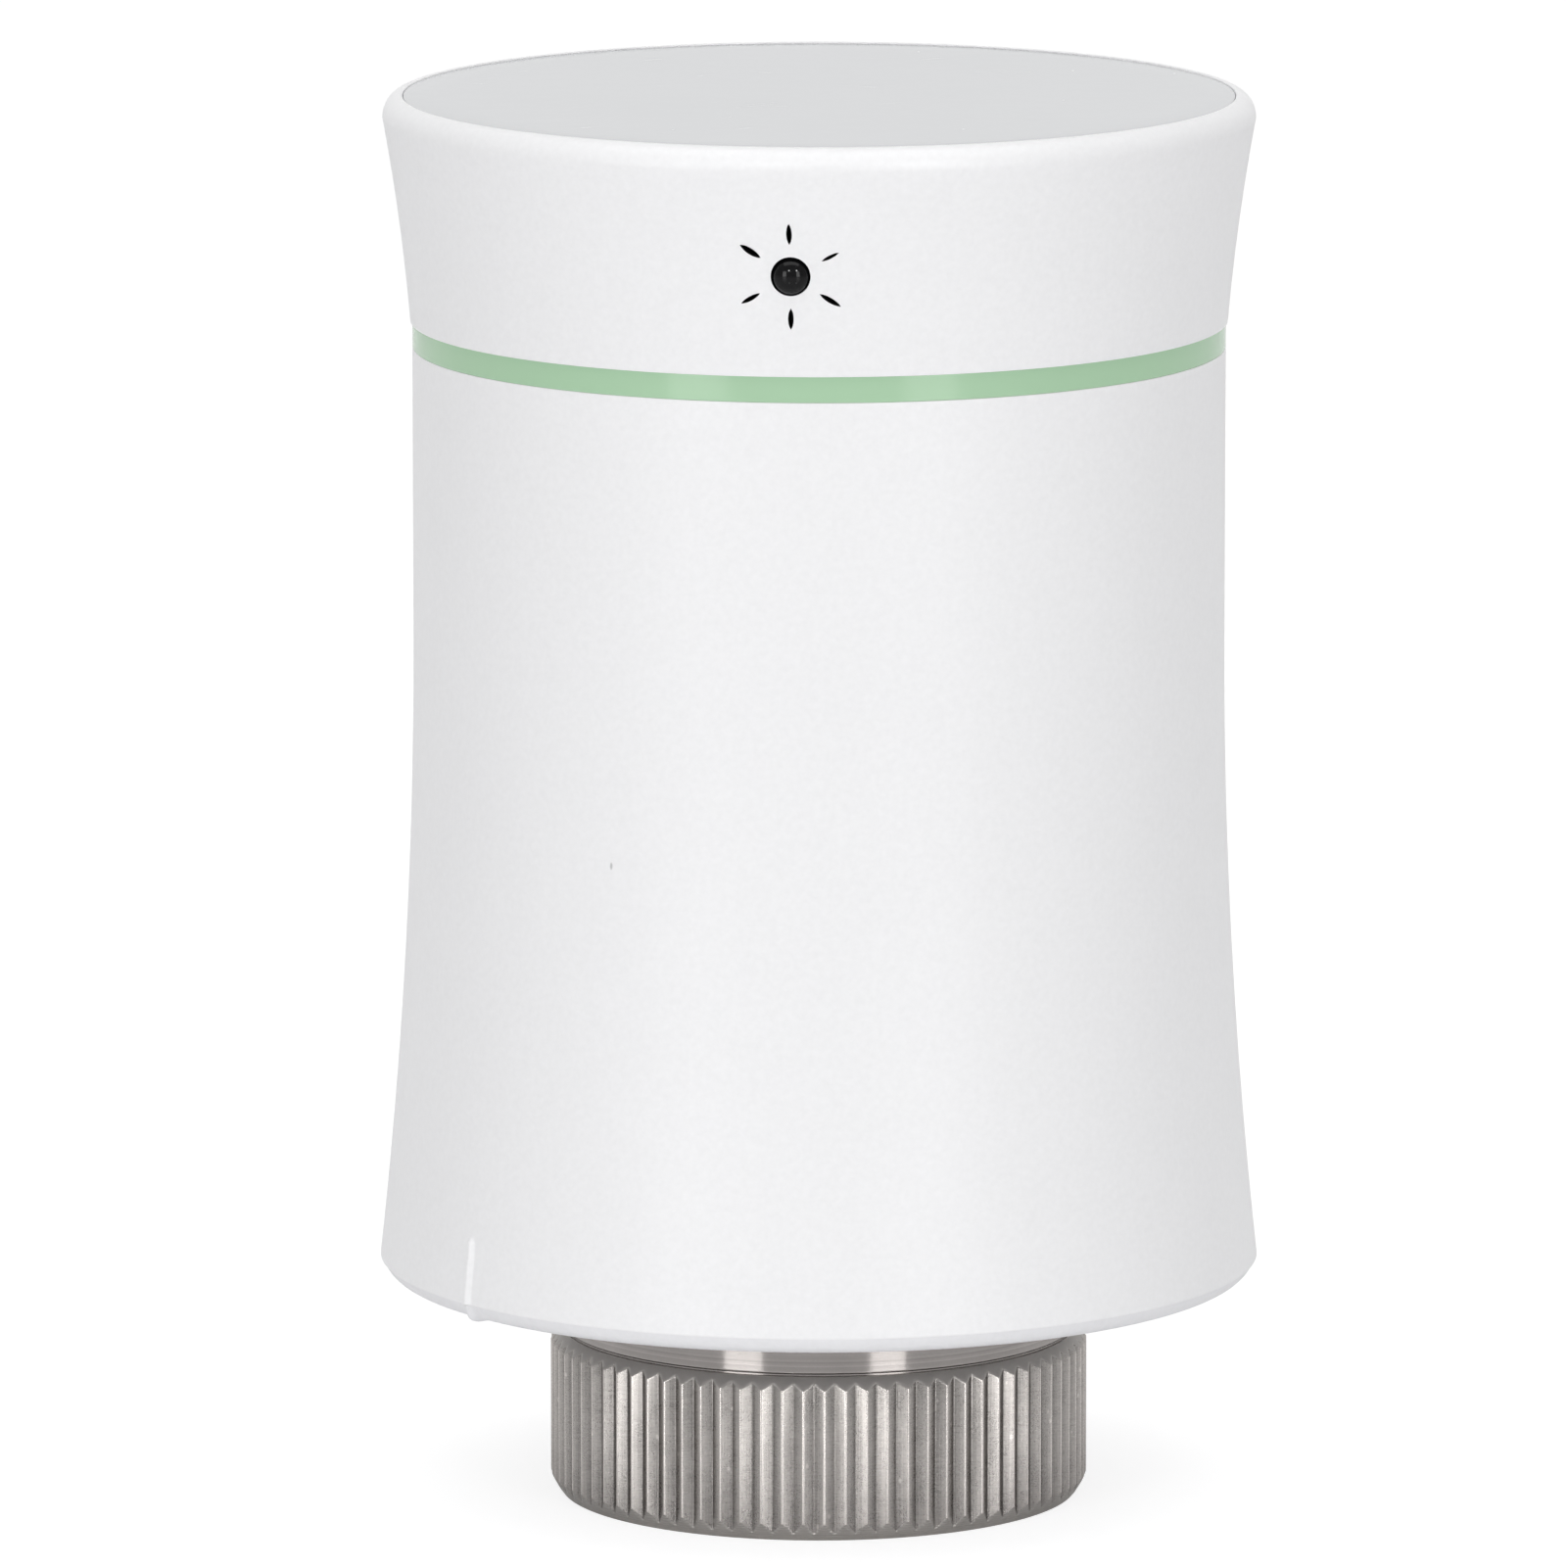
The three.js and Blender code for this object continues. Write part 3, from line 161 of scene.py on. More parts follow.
class Shade:
    """A node's output socket that takes part in Python arithmetic."""

    def __init__(self, graph: "Graph", socket: bpy.types.NodeSocket) -> None:
        """Keeps the socket and the graph that it belongs to."""
        self.graph = graph
        self.socket = socket

    def _math(self, operation: str, *terms: "Shade | float") -> "Shade":
        """Adds the Math node of one operation."""
        return self.graph.node("ShaderNodeMath", {"operation": operation}, dict(enumerate(terms)))

    def __add__(self, other: "Shade | float") -> "Shade":
        """Sum."""
        return self._math("ADD", self, other)

    def __radd__(self, other: float) -> "Shade":
        """Sum with a number on the left."""
        return self._math("ADD", other, self)

    def __sub__(self, other: "Shade | float") -> "Shade":
        """Difference."""
        return self._math("SUBTRACT", self, other)

    def __rsub__(self, other: float) -> "Shade":
        """Difference from a number on the left."""
        return self._math("SUBTRACT", other, self)

    def __mul__(self, other: "Shade | float") -> "Shade":
        """Product."""
        return self._math("MULTIPLY", self, other)

    def __rmul__(self, other: float) -> "Shade":
        """Product with a number on the left."""
        return self._math("MULTIPLY", other, self)

    def __abs__(self) -> "Shade":
        """Size without sign."""
        return self._math("ABSOLUTE", self)

    def fraction(self) -> "Shade":
        """Part after the decimal point."""
        return self._math("FRACT", self)

    def sine(self) -> "Shade":
        """Sine of an angle in radians."""
        return self._math("SINE", self)

    def swing(self, amount: float) -> "Shade":
        """A noise's departure from its mean, times an amount."""
        return (self - NOISE_MEAN) * amount

    def greatest(self, other: "Shade | float") -> "Shade":
        """The larger of two values."""
        return self._math("MAXIMUM", self, other)

    def ramp(self, start: float, stop: float) -> "Shade":
        """Smooth step from 0 at `start` to 1 at `stop`, which may be the lower of the two."""
        settings = {"interpolation_type": "SMOOTHSTEP"}
        if start <= stop:
            return self.graph.node("ShaderNodeMapRange", settings, {0: self, 1: start, 2: stop})
        return 1 - self.graph.node("ShaderNodeMapRange", settings, {0: self, 1: stop, 2: start})


Input = Shade | float | Sequence[float]


class Graph:
    """Node tree that is filled through one method."""

    def __init__(self, tree: bpy.types.NodeTree) -> None:
        """Empties the tree."""
        self.tree = tree
        tree.nodes.clear()

    @staticmethod
    def _find(sockets: bpy.types.bpy_prop_collection, key: int | str) -> bpy.types.NodeSocket:
        """Finds a socket by its place, its identifier or its name."""
        if isinstance(key, int):
            return sockets[key]
        match = next((socket for socket in sockets if socket.identifier == key), None)
        return match or sockets[key]

    def node(
        self,
        kind: str,
        settings: dict[str, object] | None = None,
        values: dict[int | str, Input] | None = None,
        output: int | str = 0,
    ) -> Shade:
        """Adds a node.

        Args:
            kind: Blender's name for the node type.
            settings: The node's own options, set first.
            values: A value or a link for each socket that isn't left at its default.
            output: The socket that is handed back.

        Returns:
            The chosen output.
        """
        node = self.tree.nodes.new(kind)
        for name, setting in (settings or {}).items():
            setattr(node, name, setting)
        for key, value in (values or {}).items():
            socket = self._find(node.inputs, key)
            if isinstance(value, Shade):
                self.tree.links.new(value.socket, socket)
            else:
                socket.default_value = value
        return Shade(self, self._find(node.outputs, output) if node.outputs else None)

    def place(self) -> Shade:
        """Position on the piece in millimetres."""
        position = self.node("ShaderNodeTexCoord", output="Object")
        return self.scaled(position, 1 / MM)

    def scaled(self, vector: Input, factor: Input) -> Shade:
        """A vector or a colour times a number."""
        return self.node(
            "ShaderNodeVectorMath", {"operation": "SCALE"}, {"Vector": vector, "Scale": factor}
        )

    def stretched(self, vector: Shade, factors: Triple) -> Shade:
        """A vector times one number for each axis."""
        return self.node(
            "ShaderNodeVectorMath", {"operation": "MULTIPLY"}, {0: vector, 1: factors}
        )

    def moved(self, vector: Shade, offset: Triple) -> Shade:
        """A vector plus an offset."""
        return self.node("ShaderNodeVectorMath", {"operation": "ADD"}, {0: vector, 1: offset})

    def axis(self, vector: Shade, index: int) -> Shade:
        """One component of a vector."""
        return self.node("ShaderNodeSeparateXYZ", None, {0: vector}, index)

    def radius(self, vector: Shade) -> Shade:
        """Distance from the Z axis."""
        flat = self.stretched(vector, (1, 1, 0))
        return self.node("ShaderNodeVectorMath", {"operation": "LENGTH"}, {0: flat}, "Value")

    def turned(self, vector: Shade, angle: float) -> Shade:
        """A vector turned about the Z axis."""
        return self.node(
            "ShaderNodeVectorRotate",
            {"rotation_type": "Z_AXIS"},
            {"Vector": vector, "Angle": math.radians(angle)},
        )

    def noise(self, vector: Shade, scale: float, detail: float = 2, rough: float = 0.5) -> Shade:
        """Cloudy noise from 0 to 1; `scale` is in features per millimetre."""
        values = {"Vector": vector, "Scale": scale, "Detail": detail, "Roughness": rough}
        return self.node("ShaderNodeTexNoise", {"noise_dimensions": "3D"}, values)

    def lines(self, value: Shade, scale: float, detail: float = 2) -> Shade:
        """Noise along one coordinate, which gives bands across it."""
        values = {"W": value, "Scale": scale, "Detail": detail}
        return self.node("ShaderNodeTexNoise", {"noise_dimensions": "1D"}, values)

    def cells(self, vector: Shade, scale: float) -> Shade:
        """Distance to the nearest of many scattered points."""
        return self.node("ShaderNodeTexVoronoi", None, {"Vector": vector, "Scale": scale})

    def mix(self, factor: Input, first: Input, second: Input) -> Shade:
        """Blends two colours."""
        values = {"Factor_Float": factor, "A_Color": first, "B_Color": second}
        return self.node("ShaderNodeMix", {"data_type": "RGBA"}, values, "Result_Color")

    def bump(self, height: Shade, depth: float, under: Shade | None = None) -> Shade:
        """Normal of a relief whose full height is `depth` millimetres."""
        values: dict[int | str, Input] = {"Height": height, "Distance": depth * MM}
        if under is not None:
            values["Normal"] = under
        return self.node("ShaderNodeBump", None, values, "Normal")

    def surface(self, values: dict[int | str, Input]) -> None:
        """Ends the graph in one surface shader."""
        shader = self.node("ShaderNodeBsdfPrincipled", None, values)
        self.node("ShaderNodeOutputMaterial", None, {"Surface": shader})


def linear(*levels: float) -> Colour:
    """Scene-linear colour from display levels of 0 to 255."""
    shares = [level / 255 for level in levels]
    return tuple(
        share / 12.92 if share <= 0.04045 else ((share + 0.055) / 1.055) ** 2.4 for share in shares
    )


def opaque(colour: Colour) -> tuple[float, float, float, float]:
    """A colour with full alpha."""
    return (*colour, 1.0)


# ---------------------------------------------------------------------- Finishes


@dataclass(frozen=True)
class Finish(ABC):
    """A finish that paints its own shader graph."""

    slot: Slot

    @abstractmethod
    def paint(self, graph: Graph) -> None:
        """Builds the shader."""


@cache
def material(finish: Finish) -> bpy.types.Material:
    """The material of a finish, made once."""
    made = bpy.data.materials.new(f"{finish.slot.value}_{type(finish).__name__}")
    made.use_nodes = True
    finish.paint(Graph(made.node_tree))
    return made


@dataclass(frozen=True)
class Moulded(Finish):
    """Injection-moulded plastic: a fine eroded grain over slow changes of tone and gloss."""

    colour: Colour
    gloss: float = 0.42
    gloss_change: float = 0.1
    grain: float = 3.2
    grain_depth: float = 0.006
    ripple: float = 0.16
    ripple_depth: float = 0.012
    patches: float = 6  # to one ripple
    tone_change: float = 0.03

    def paint(self, graph: Graph) -> None:
        """Grain and ripple drive the relief and the tone, and patches drive the gloss.

        Args:
            graph: The graph of the finish's material.
        """
        place = graph.place()
        grain = graph.noise(place, self.grain, detail=3, rough=0.6)
        ripple = graph.noise(place, self.ripple, detail=3)
        patch = graph.noise(place, self.ripple * self.patches)
        relief = graph.bump(grain, self.grain_depth, graph.bump(ripple, self.ripple_depth))
        tone = 1 + ripple.swing(self.tone_change) + grain.swing(self.tone_change)
        graph.surface({
            "Base Color": graph.scaled(self.colour, tone),
            "Roughness": self.gloss + patch.swing(self.gloss_change),
            "Normal": relief,
        })


@dataclass(frozen=True)
class SatinWhite(Finish):
    """Satin white plastic with a faint grain, handling marks and the odd speck of dust."""

    colour: Colour
    speck: Colour
    gloss: float = 0.36
    shine: float = 0.4
    grain: float = 2.6
    grain_depth: float = 0.005
    grain_tone: float = 0.1
    grain_gloss: float = 0.08
    swell: float = 0.07
    swell_depth: float = 0.03
    swell_tone: float = 0.012
    rubbed: float = 0.4
    rubbed_range: Point = (0.45, 0.75)
    rubbed_tone: float = 0.006
    rubbed_gloss: float = 0.06
    speck_scale: float = 0.085
    speck_stretch: Triple = (1, 1, 0.45)
    speck_size: float = 0.013
    speck_blur: float = 0.006
    speck_wobble: float = 0.012
    wobble: float = 1.4
    speck_strength: float = 0.5

    def paint(self, graph: Graph) -> None:
        """Grain, slow swell, rubbed patches and specks.

        Args:
            graph: The graph of the finish's material.
        """
        place = graph.place()
        grain = graph.noise(place, self.grain, detail=4, rough=0.6)
        swell = graph.noise(place, self.swell)
        rubbed = graph.noise(place, self.rubbed, detail=4, rough=0.65).ramp(*self.rubbed_range)
        spots = graph.cells(graph.stretched(place, self.speck_stretch), self.speck_scale)
        wobble = graph.noise(place, self.wobble) * self.speck_wobble
        speck = (spots + wobble).ramp(self.speck_size + self.speck_blur, self.speck_size)
        tone = (
            1
            + swell.swing(self.swell_tone)
            + grain.swing(self.grain_tone)
            - rubbed * self.rubbed_tone
        )
        graph.surface({
            "Base Color": graph.mix(
                speck * self.speck_strength, graph.scaled(self.colour, tone), opaque(self.speck)
            ),
            "Roughness": self.gloss + grain.swing(self.grain_gloss) + rubbed * self.rubbed_gloss,
            "Specular IOR Level": self.shine,
            "Normal": graph.bump(grain, self.grain_depth, graph.bump(swell, self.swell_depth)),
        })


@dataclass(frozen=True)
class TrimGreen(Finish):
    """Glossy coloured trim with faint draw lines and a soft cloud in its tone."""

    colour: Colour
    gloss: float = 0.13
    shine: float = 0.5
    cloud: float = 0.12
    cloud_tone: float = 0.06
    lines: float = 5
    line_gloss: float = 0.06
    fine: float = 3
    fine_gloss: float = 0.04
    relief: float = 0.002

    def paint(self, graph: Graph) -> None:
        """Draw lines along the height and a soft cloud in the colour.

        Args:
            graph: The graph of the finish's material.
        """
        place = graph.place()
        cloud = graph.noise(place, self.cloud, detail=3)
        lines = graph.lines(graph.axis(place, 2), self.lines, detail=3)
        fine = graph.noise(place, self.fine)
        graph.surface({
            "Base Color": graph.scaled(self.colour, 1 + cloud.swing(self.cloud_tone)),
            "Roughness": self.gloss + lines.swing(self.line_gloss) + fine.swing(self.fine_gloss),
            "Specular IOR Level": self.shine,
            "Normal": graph.bump(lines, self.relief, graph.bump(fine, self.relief)),
        })


@dataclass(frozen=True)
class DisplayWindow(Finish):
    """Tinted window of the display: glossy, with hairline scratches and dust."""

    colour: Colour
    mark: Colour
    gloss: float = 0.16
    smear: float = 0.09
    smear_tone: float = 0.03
    smear_gloss: float = 0.08
    smear_depth: float = 0.01
    scratch_sets: tuple[Point, Point] = ((12, 3.7), (-34, 19.1))  # direction and offset
    scratch_depth: float = 0.004
    hair_stretch: Triple = (0.12, 5.5, 0)
    hair_range: Point = (0.74, 0.79)
    region_stretch: Triple = (0.1, 0.14, 0)
    region_range: Point = (0.52, 0.62)
    dust_scale: float = 0.5
    dust_size: Point = (0.05, 0.03)
    dust_patches: float = 0.6
    dust_range: Point = (0.66, 0.68)
    flaw_strength: float = 0.55
    flaw_gloss: float = 0.3

    def _scratches(self, graph: Graph, place: Shade, angle: float, shift: float) -> Shade:
        """Sparse hairlines along one direction.

        Args:
            graph: The graph that is being filled.
            place: Position in millimetres.
            angle: Direction of the hairlines.
            shift: Offset into the noise, so that two sets differ.

        Returns:
            1 in a scratch and 0 elsewhere.
        """
        along = graph.moved(graph.turned(place, angle), (shift, shift, 0))
        hair = graph.noise(graph.stretched(along, self.hair_stretch), 1, detail=1, rough=0.4)
        region = graph.noise(graph.stretched(along, self.region_stretch), 1, detail=1)
        return hair.ramp(*self.hair_range) * region.ramp(*self.region_range)

    def paint(self, graph: Graph) -> None:
        """Scratches and dust change both the colour and the gloss.

        Args:
            graph: The graph of the finish's material.
        """
        place = graph.place()
        smear = graph.noise(place, self.smear, detail=4, rough=0.6)
        first, second = (
            self._scratches(graph, place, angle, shift) for angle, shift in self.scratch_sets
        )
        marks = first.greatest(second)
        spots = graph.cells(place, self.dust_scale).ramp(*self.dust_size)
        dusty = graph.noise(place, self.dust_patches, detail=1).ramp(*self.dust_range)
        dust = spots * dusty
        flaw = marks.greatest(dust)
        glass = graph.scaled(self.colour, 1 + smear.swing(self.smear_tone))
        graph.surface({
            "Base Color": graph.mix(flaw * self.flaw_strength, glass, opaque(self.mark)),
            "Roughness": self.gloss + smear.swing(self.smear_gloss) + flaw * self.flaw_gloss,
            "Normal": graph.bump(
                marks, self.scratch_depth, graph.bump(smear, self.smear_depth)
            ),
        })


@dataclass(frozen=True)
class SensorGloss(Finish):
    """Deep black moulding, polished, with a trace of dust."""

    colour: Colour
    gloss: float = 0.05
    shine: float = 0.2
    cloud: float = 0.9
    cloud_gloss: float = 0.06
    speckle: float = 9
    speckle_tone: float = 0.6
    relief: float = 0.0015

    def paint(self, graph: Graph) -> None:
        """A cloud in the gloss and a fine speckle in the colour.

        Args:
            graph: The graph of the finish's material.
        """
        place = graph.place()
        cloud = graph.noise(place, self.cloud, detail=3)
        speckle = graph.noise(place, self.speckle)
        graph.surface({
            "Base Color": graph.scaled(self.colour, 1 + speckle.swing(self.speckle_tone)),
            "Roughness": self.gloss + cloud * self.cloud_gloss,
            "Specular IOR Level": self.shine,
            "Normal": graph.bump(speckle, self.relief),
        })


@dataclass(frozen=True)
class Knurled(Finish):
    """Plated knurl: burnished crests with painted highlight, dull valleys with painted shade,
    drawn streaks, blotches and small nicks.
    """

    colour: Colour
    crest: float
    valley: float
    gloss: float = 0.29
    grazing: float = 0.5
    streaks: Triple = (13, 13, 0.16)
    streak_depth: float = 0.006
    cross_marks: Triple = (0.9, 0.9, 13)
    cross_depth: float = 0.006
    grain: float = 8
    grain_depth: float = 0.005
    blotches: float = 0.7
    nicks: float = 0.9
    nick_stretch: Triple = (1, 1, 0.6)
    nick_size: Point = (0.12, 0.06)
    edge_start: float = 0.06  # below the crest
    edge_stop: float = 0.015
    edge_gloss: float = 0.1
    grain_gloss: float = 0.2
    blotch_gloss: float = 0.08
    # these two tones darken the valleys against the crests: wear, and painted shade in the valleys
    valley_tone: float = 0.6
    wear_and_shade_tone: float = 0.38
    # lightens the crest edges: burnished metal, and painted highlight
    burnish_and_highlight_tone: float = 0.45
    streak_tone: float = 0.6
    grain_tone: float = 0.45
    cross_tone: float = 0.35
    blotch_tone: float = 0.25
    nick_tone: float = 0.35

    def paint(self, graph: Graph) -> None:
        """The distance from the axis parts crests from valleys: it darkens the valleys with wear
        and painted shade, and lightens the crest edges with burnish and painted highlight.

        Args:
            graph: The graph of the finish's material.
        """
        place = graph.place()
        radius = graph.radius(place)
        # 0 in the valleys and 1 on the crests: wear, and painted shade in the valleys
        wear_and_valley_shade = radius.ramp(self.valley, self.crest)
        # crest edges lightened: burnished metal, and painted highlight
        edge = radius.ramp(self.crest - self.edge_start, self.crest - self.edge_stop)
        streak = graph.noise(graph.stretched(place, self.streaks), 1, detail=3, rough=0.6)
        cross = graph.noise(graph.stretched(place, self.cross_marks), 1, detail=3, rough=0.6)
        grain = graph.noise(place, self.grain, detail=3, rough=0.7)
        blotch = graph.noise(place, self.blotches, detail=3)
        spots = graph.cells(graph.stretched(place, self.nick_stretch), self.nicks)
        nick = spots.ramp(*self.nick_size)
        tone = (
            self.valley_tone
            + wear_and_valley_shade * self.wear_and_shade_tone
            + edge * self.burnish_and_highlight_tone
            + streak.swing(self.streak_tone)
            + grain.swing(self.grain_tone)
            + cross.swing(self.cross_tone)
            + blotch.swing(self.blotch_tone)
            + nick * self.nick_tone
        )
        gloss = (
            self.gloss
            + grain.swing(self.grain_gloss)
            - edge * self.edge_gloss
            + blotch.swing(self.blotch_gloss)
        )
        relief = graph.bump(cross, self.cross_depth)
        relief = graph.bump(grain, self.grain_depth, relief)
        relief = graph.bump(streak, self.streak_depth, relief)
        graph.surface({
            "Base Color": graph.scaled(self.colour, tone),
            "Metallic": 1.0,
            "Roughness": gloss,
            "Specular Tint": opaque((self.grazing,) * 3),
            "Normal": relief,
        })


@dataclass(frozen=True)
class Turned(Finish):
    """Lathe-turned metal: fine rings that follow both the height and the radius."""

    colour: Colour
    gloss: float = 0.28
    pitch: float = 0.4
    ring_depth: float = 0.012
    ring_tone: float = 0.06
    hair: float = 9
    hair_share: float = 0.7  # of the rings' depth
    hair_tone: float = 0.3
    hair_gloss: float = 0.4
    spread: float = 0.6
    spread_turn: float = 0.25
    cloud: float = 0.5
    cloud_tone: float = 0.16
    cloud_gloss: float = 0.3
    grain: float = 6
    grain_tone: float = 0.12
    base_tone: float = 0.9
    grazing: float = 0.8

    def paint(self, graph: Graph) -> None:
        """Tool rings of one pitch with finer, uneven rings between them.

        Args:
            graph: The graph of the finish's material.
        """
        place = graph.place()
        path = graph.axis(place, 2) + graph.radius(place)
        rings = (path * (2 * math.pi / self.pitch)).sine() * 0.5 + 0.5
        hair = graph.lines(path, self.hair, detail=4)
        grain = graph.noise(place, self.grain, detail=3, rough=0.6)
        cloud = graph.noise(place, self.cloud, detail=3)
        tone = (
            self.base_tone
            + hair.swing(self.hair_tone)
            + rings.swing(self.ring_tone)
            + cloud.swing(self.cloud_tone)
            + grain.swing(self.grain_tone)
        )
        fine_rings = graph.bump(hair, self.ring_depth * self.hair_share)
        graph.surface({
            "Base Color": graph.scaled(self.colour, tone),
            "Metallic": 1.0,
            "Roughness": (
                self.gloss * (1 + hair.swing(self.hair_gloss) + cloud.swing(self.cloud_gloss))
            ),
            "Anisotropic": self.spread,
            "Anisotropic Rotation": self.spread_turn,
            "Specular Tint": opaque((self.grazing,) * 3),
            "Normal": graph.bump(rings, self.ring_depth, fine_rings),
        })


@dataclass(frozen=True)
class Drawn(Finish):
    """Plain metal stock: drawn streaks along one axis, a dull cloud and fine grain."""

    colour: Colour
    gloss: float = 0.3
    streaks: Triple = (6, 6, 0.6)
    base_tone: float = 0.9
    streak_tone: float = 0.25
    streak_gloss: float = 0.1
    streak_depth: float = 0.008
    cloud: float = 0.4
    cloud_tone: float = 0.2
    cloud_gloss: float = 0.15
    grain: float = 7
    grain_tone: float = 0.15
    grain_depth: float = 0.004

    def paint(self, graph: Graph) -> None:
        """Streaks and grain change the tone, the gloss and the relief.

        Args:
            graph: The graph of the finish's material.
        """
        place = graph.place()
        streak = graph.noise(graph.stretched(place, self.streaks), 1, detail=4, rough=0.6)
        grain = graph.noise(place, self.grain, detail=3, rough=0.6)
        cloud = graph.noise(place, self.cloud, detail=3)
        tone = (
            self.base_tone
            + streak.swing(self.streak_tone)
            + cloud.swing(self.cloud_tone)
            + grain.swing(self.grain_tone)
        )
        relief = graph.bump(streak, self.streak_depth, graph.bump(grain, self.grain_depth))
        graph.surface({
            "Base Color": graph.scaled(self.colour, tone),
            "Metallic": 1.0,
            "Roughness": (
                self.gloss + cloud.swing(self.cloud_gloss) + streak.swing(self.streak_gloss)
            ),
            "Normal": relief,
        })


@dataclass(frozen=True)
class Board(Finish):
    """Circuit board: solder mask over copper tracks, with tinned pads."""

    mask: Colour
    copper: Colour
    tin: Colour
    across: int
    along: int
    gloss: float = 0.4
    tracks_per_mm: Point = (0.9, 0.7)
    track_size: tuple[Point, Point] = ((0.12, 0.07), (0.1, 0.06))
    bends: float = 0.16
    bend_range: tuple[Point, Point] = ((0.48, 0.52), (0.55, 0.58))
    regions: float = 0.1
    region_range: Point = (0.47, 0.5)
    weave: float = 2.4
    weave_tone: float = 0.16
    weave_gloss: float = 0.1
    pad_scale: float = 0.34
    pad_size: Point = (0.2, 0.17)
    pad_gloss: float = 0.08
    copper_share: float = 0.6
    layer_depth: float = 0.03
    weave_depth: float = 0.01

    @staticmethod
    def _tracks(place: Shade, bend: Shade, per_mm: float, size: Point) -> Shade:
        """Evenly spaced tracks that step aside with a bend.

        Args:
            place: The coordinate that runs across the tracks, in millimetres.
            bend: Where the tracks step aside, from 0 to 1.
            per_mm: Number of tracks to a millimetre.
            size: Distance from a track's middle at which it ends and at which it is full.

        Returns:
            1 on a track and 0 beside it.
        """
        return abs((place * per_mm + bend).fraction() - 0.5).ramp(*size)

    def paint(self, graph: Graph) -> None:
        """Tracks run along both directions of the board's own plane.

        Args:
            graph: The graph of the finish's material.
        """
        place = graph.place()
        bend = graph.noise(place, self.bends, detail=1)
        first, second = (
            self._tracks(graph.axis(place, axis), bend.ramp(*limits), per_mm, size)
            for axis, limits, per_mm, size in zip(
                (self.across, self.along), self.bend_range, self.tracks_per_mm, self.track_size
            )
        )
        choice = graph.noise(place, self.regions, detail=1).ramp(*self.region_range)
        track = first * choice + second * (1 - choice)
        pad = graph.cells(place, self.pad_scale).ramp(*self.pad_size)
        weave = graph.noise(place, self.weave)
        tone = graph.scaled(self.mask, 1 + weave.swing(self.weave_tone))
        coated = graph.mix(track * self.copper_share, tone, opaque(self.copper))
        relief = graph.bump(
            track.greatest(pad), self.layer_depth, graph.bump(weave, self.weave_depth)
        )
        graph.surface({
            "Base Color": graph.mix(pad, coated, opaque(self.tin)),
            "Metallic": pad,
            "Roughness": self.gloss + weave.swing(self.weave_gloss) - pad * self.pad_gloss,
            "Normal": relief,
        })


@dataclass(frozen=True)
class CellWrap(Finish):
    """Battery cell: a printed film round the can, a plain band at one end and bare steel ends."""

    colour: Colour
    band: Colour
    bare: Colour
    axis: Point
    wrap_radius: float
    band_low: float
    band_high: float
    blur: float = 0.1  # width of a printed or cut edge
    gloss: float = 0.3
    film_gloss: float = 0.06
    film_cover: float = 0.65
    creases: Triple = (1.5, 1.5, 0.1)
    crease_gloss: float = 0.12
    crease_depth: float = 0.015
    fine: float = 4
    fine_tone: float = 0.14
    fine_depth: float = 0.004

    def paint(self, graph: Graph) -> None:
        """The distance from the cell's own axis parts film from steel.

        Args:
            graph: The graph of the finish's material.
        """
        place = graph.place()
        own = graph.moved(place, (-self.axis[0], -self.axis[1], 0))
        film = graph.radius(own).ramp(self.wrap_radius - self.blur, self.wrap_radius)
        height = graph.axis(place, 2)
        band = height.ramp(self.band_low, self.band_low + self.blur) * height.ramp(
            self.band_high + self.blur, self.band_high
        )
        fine = graph.noise(place, self.fine, detail=3)
        crease = graph.noise(graph.stretched(own, self.creases), 1, detail=3)
        printed = graph.mix(band, opaque(self.colour), opaque(self.band))
        shade = graph.mix(film, opaque(self.bare), printed)
        graph.surface({
            "Base Color": graph.scaled(shade, 1 + fine.swing(self.fine_tone)),
            "Metallic": 1 - film * self.film_cover,
            "Roughness": self.gloss + film * self.film_gloss + crease.swing(self.crease_gloss),
            "Normal": graph.bump(
                crease, self.crease_depth, graph.bump(fine, self.fine_depth)
            ),
        })


WHITE = SatinWhite(Slot.WHITE_SHELL, linear(243, 243, 244), linear(120, 120, 122))
# painted shade: a darker copy of the white shell, given to the foot plate at the bottom of the
# body
SHADED_FOOT_WHITE = SatinWhite(Slot.WHITE_SHELL, linear(236, 236, 238), linear(116, 116, 119))
GREEN = TrimGreen(Slot.ACCENT, linear(170, 206, 171))
WINDOW = DisplayWindow(Slot.DISPLAY, linear(188, 190, 193), linear(244, 245, 246))
BLACK = SensorGloss(Slot.SENSOR, linear(16, 16, 17))
SHADOW = Moulded(Slot.SENSOR, linear(20, 20, 21), gloss=0.6)
NECK = Turned(
    Slot.NICKEL, linear(168, 163, 160), gloss=0.13, spread=0.5, ring_depth=0.0009, hair_tone=0.5
)
CHAMFER = Turned(Slot.NICKEL, linear(186, 182, 178), gloss=0.42, pitch=0.25, spread=0.3)
THREAD = Turned(Slot.NICKEL, linear(168, 163, 157), gloss=0.34, pitch=0.3, spread=0.2)
KNURL_COLOUR = linear(193, 188, 184)
STEEL = Drawn(Slot.STEEL, linear(180, 182, 185))
SPRING = Drawn(Slot.SPRING, linear(150, 153, 157), gloss=0.34, streaks=(5, 5, 2))
MAGNET = Drawn(Slot.SPRING, linear(168, 168, 170), gloss=0.22, streaks=(2, 2, 2))
BRASS = Turned(Slot.BRASS, linear(201, 165, 92), gloss=0.3, pitch=0.3, spread=0.3)
CHASSIS = Moulded(Slot.CHASSIS, linear(154, 157, 161), gloss=0.58, grain_depth=0.012)
CRADLE = Moulded(Slot.CRADLE, linear(58, 61, 65), gloss=0.6, grain_depth=0.014)
GEAR = Moulded(Slot.GEAR, linear(228, 224, 210), gloss=0.42, tone_change=0.05)
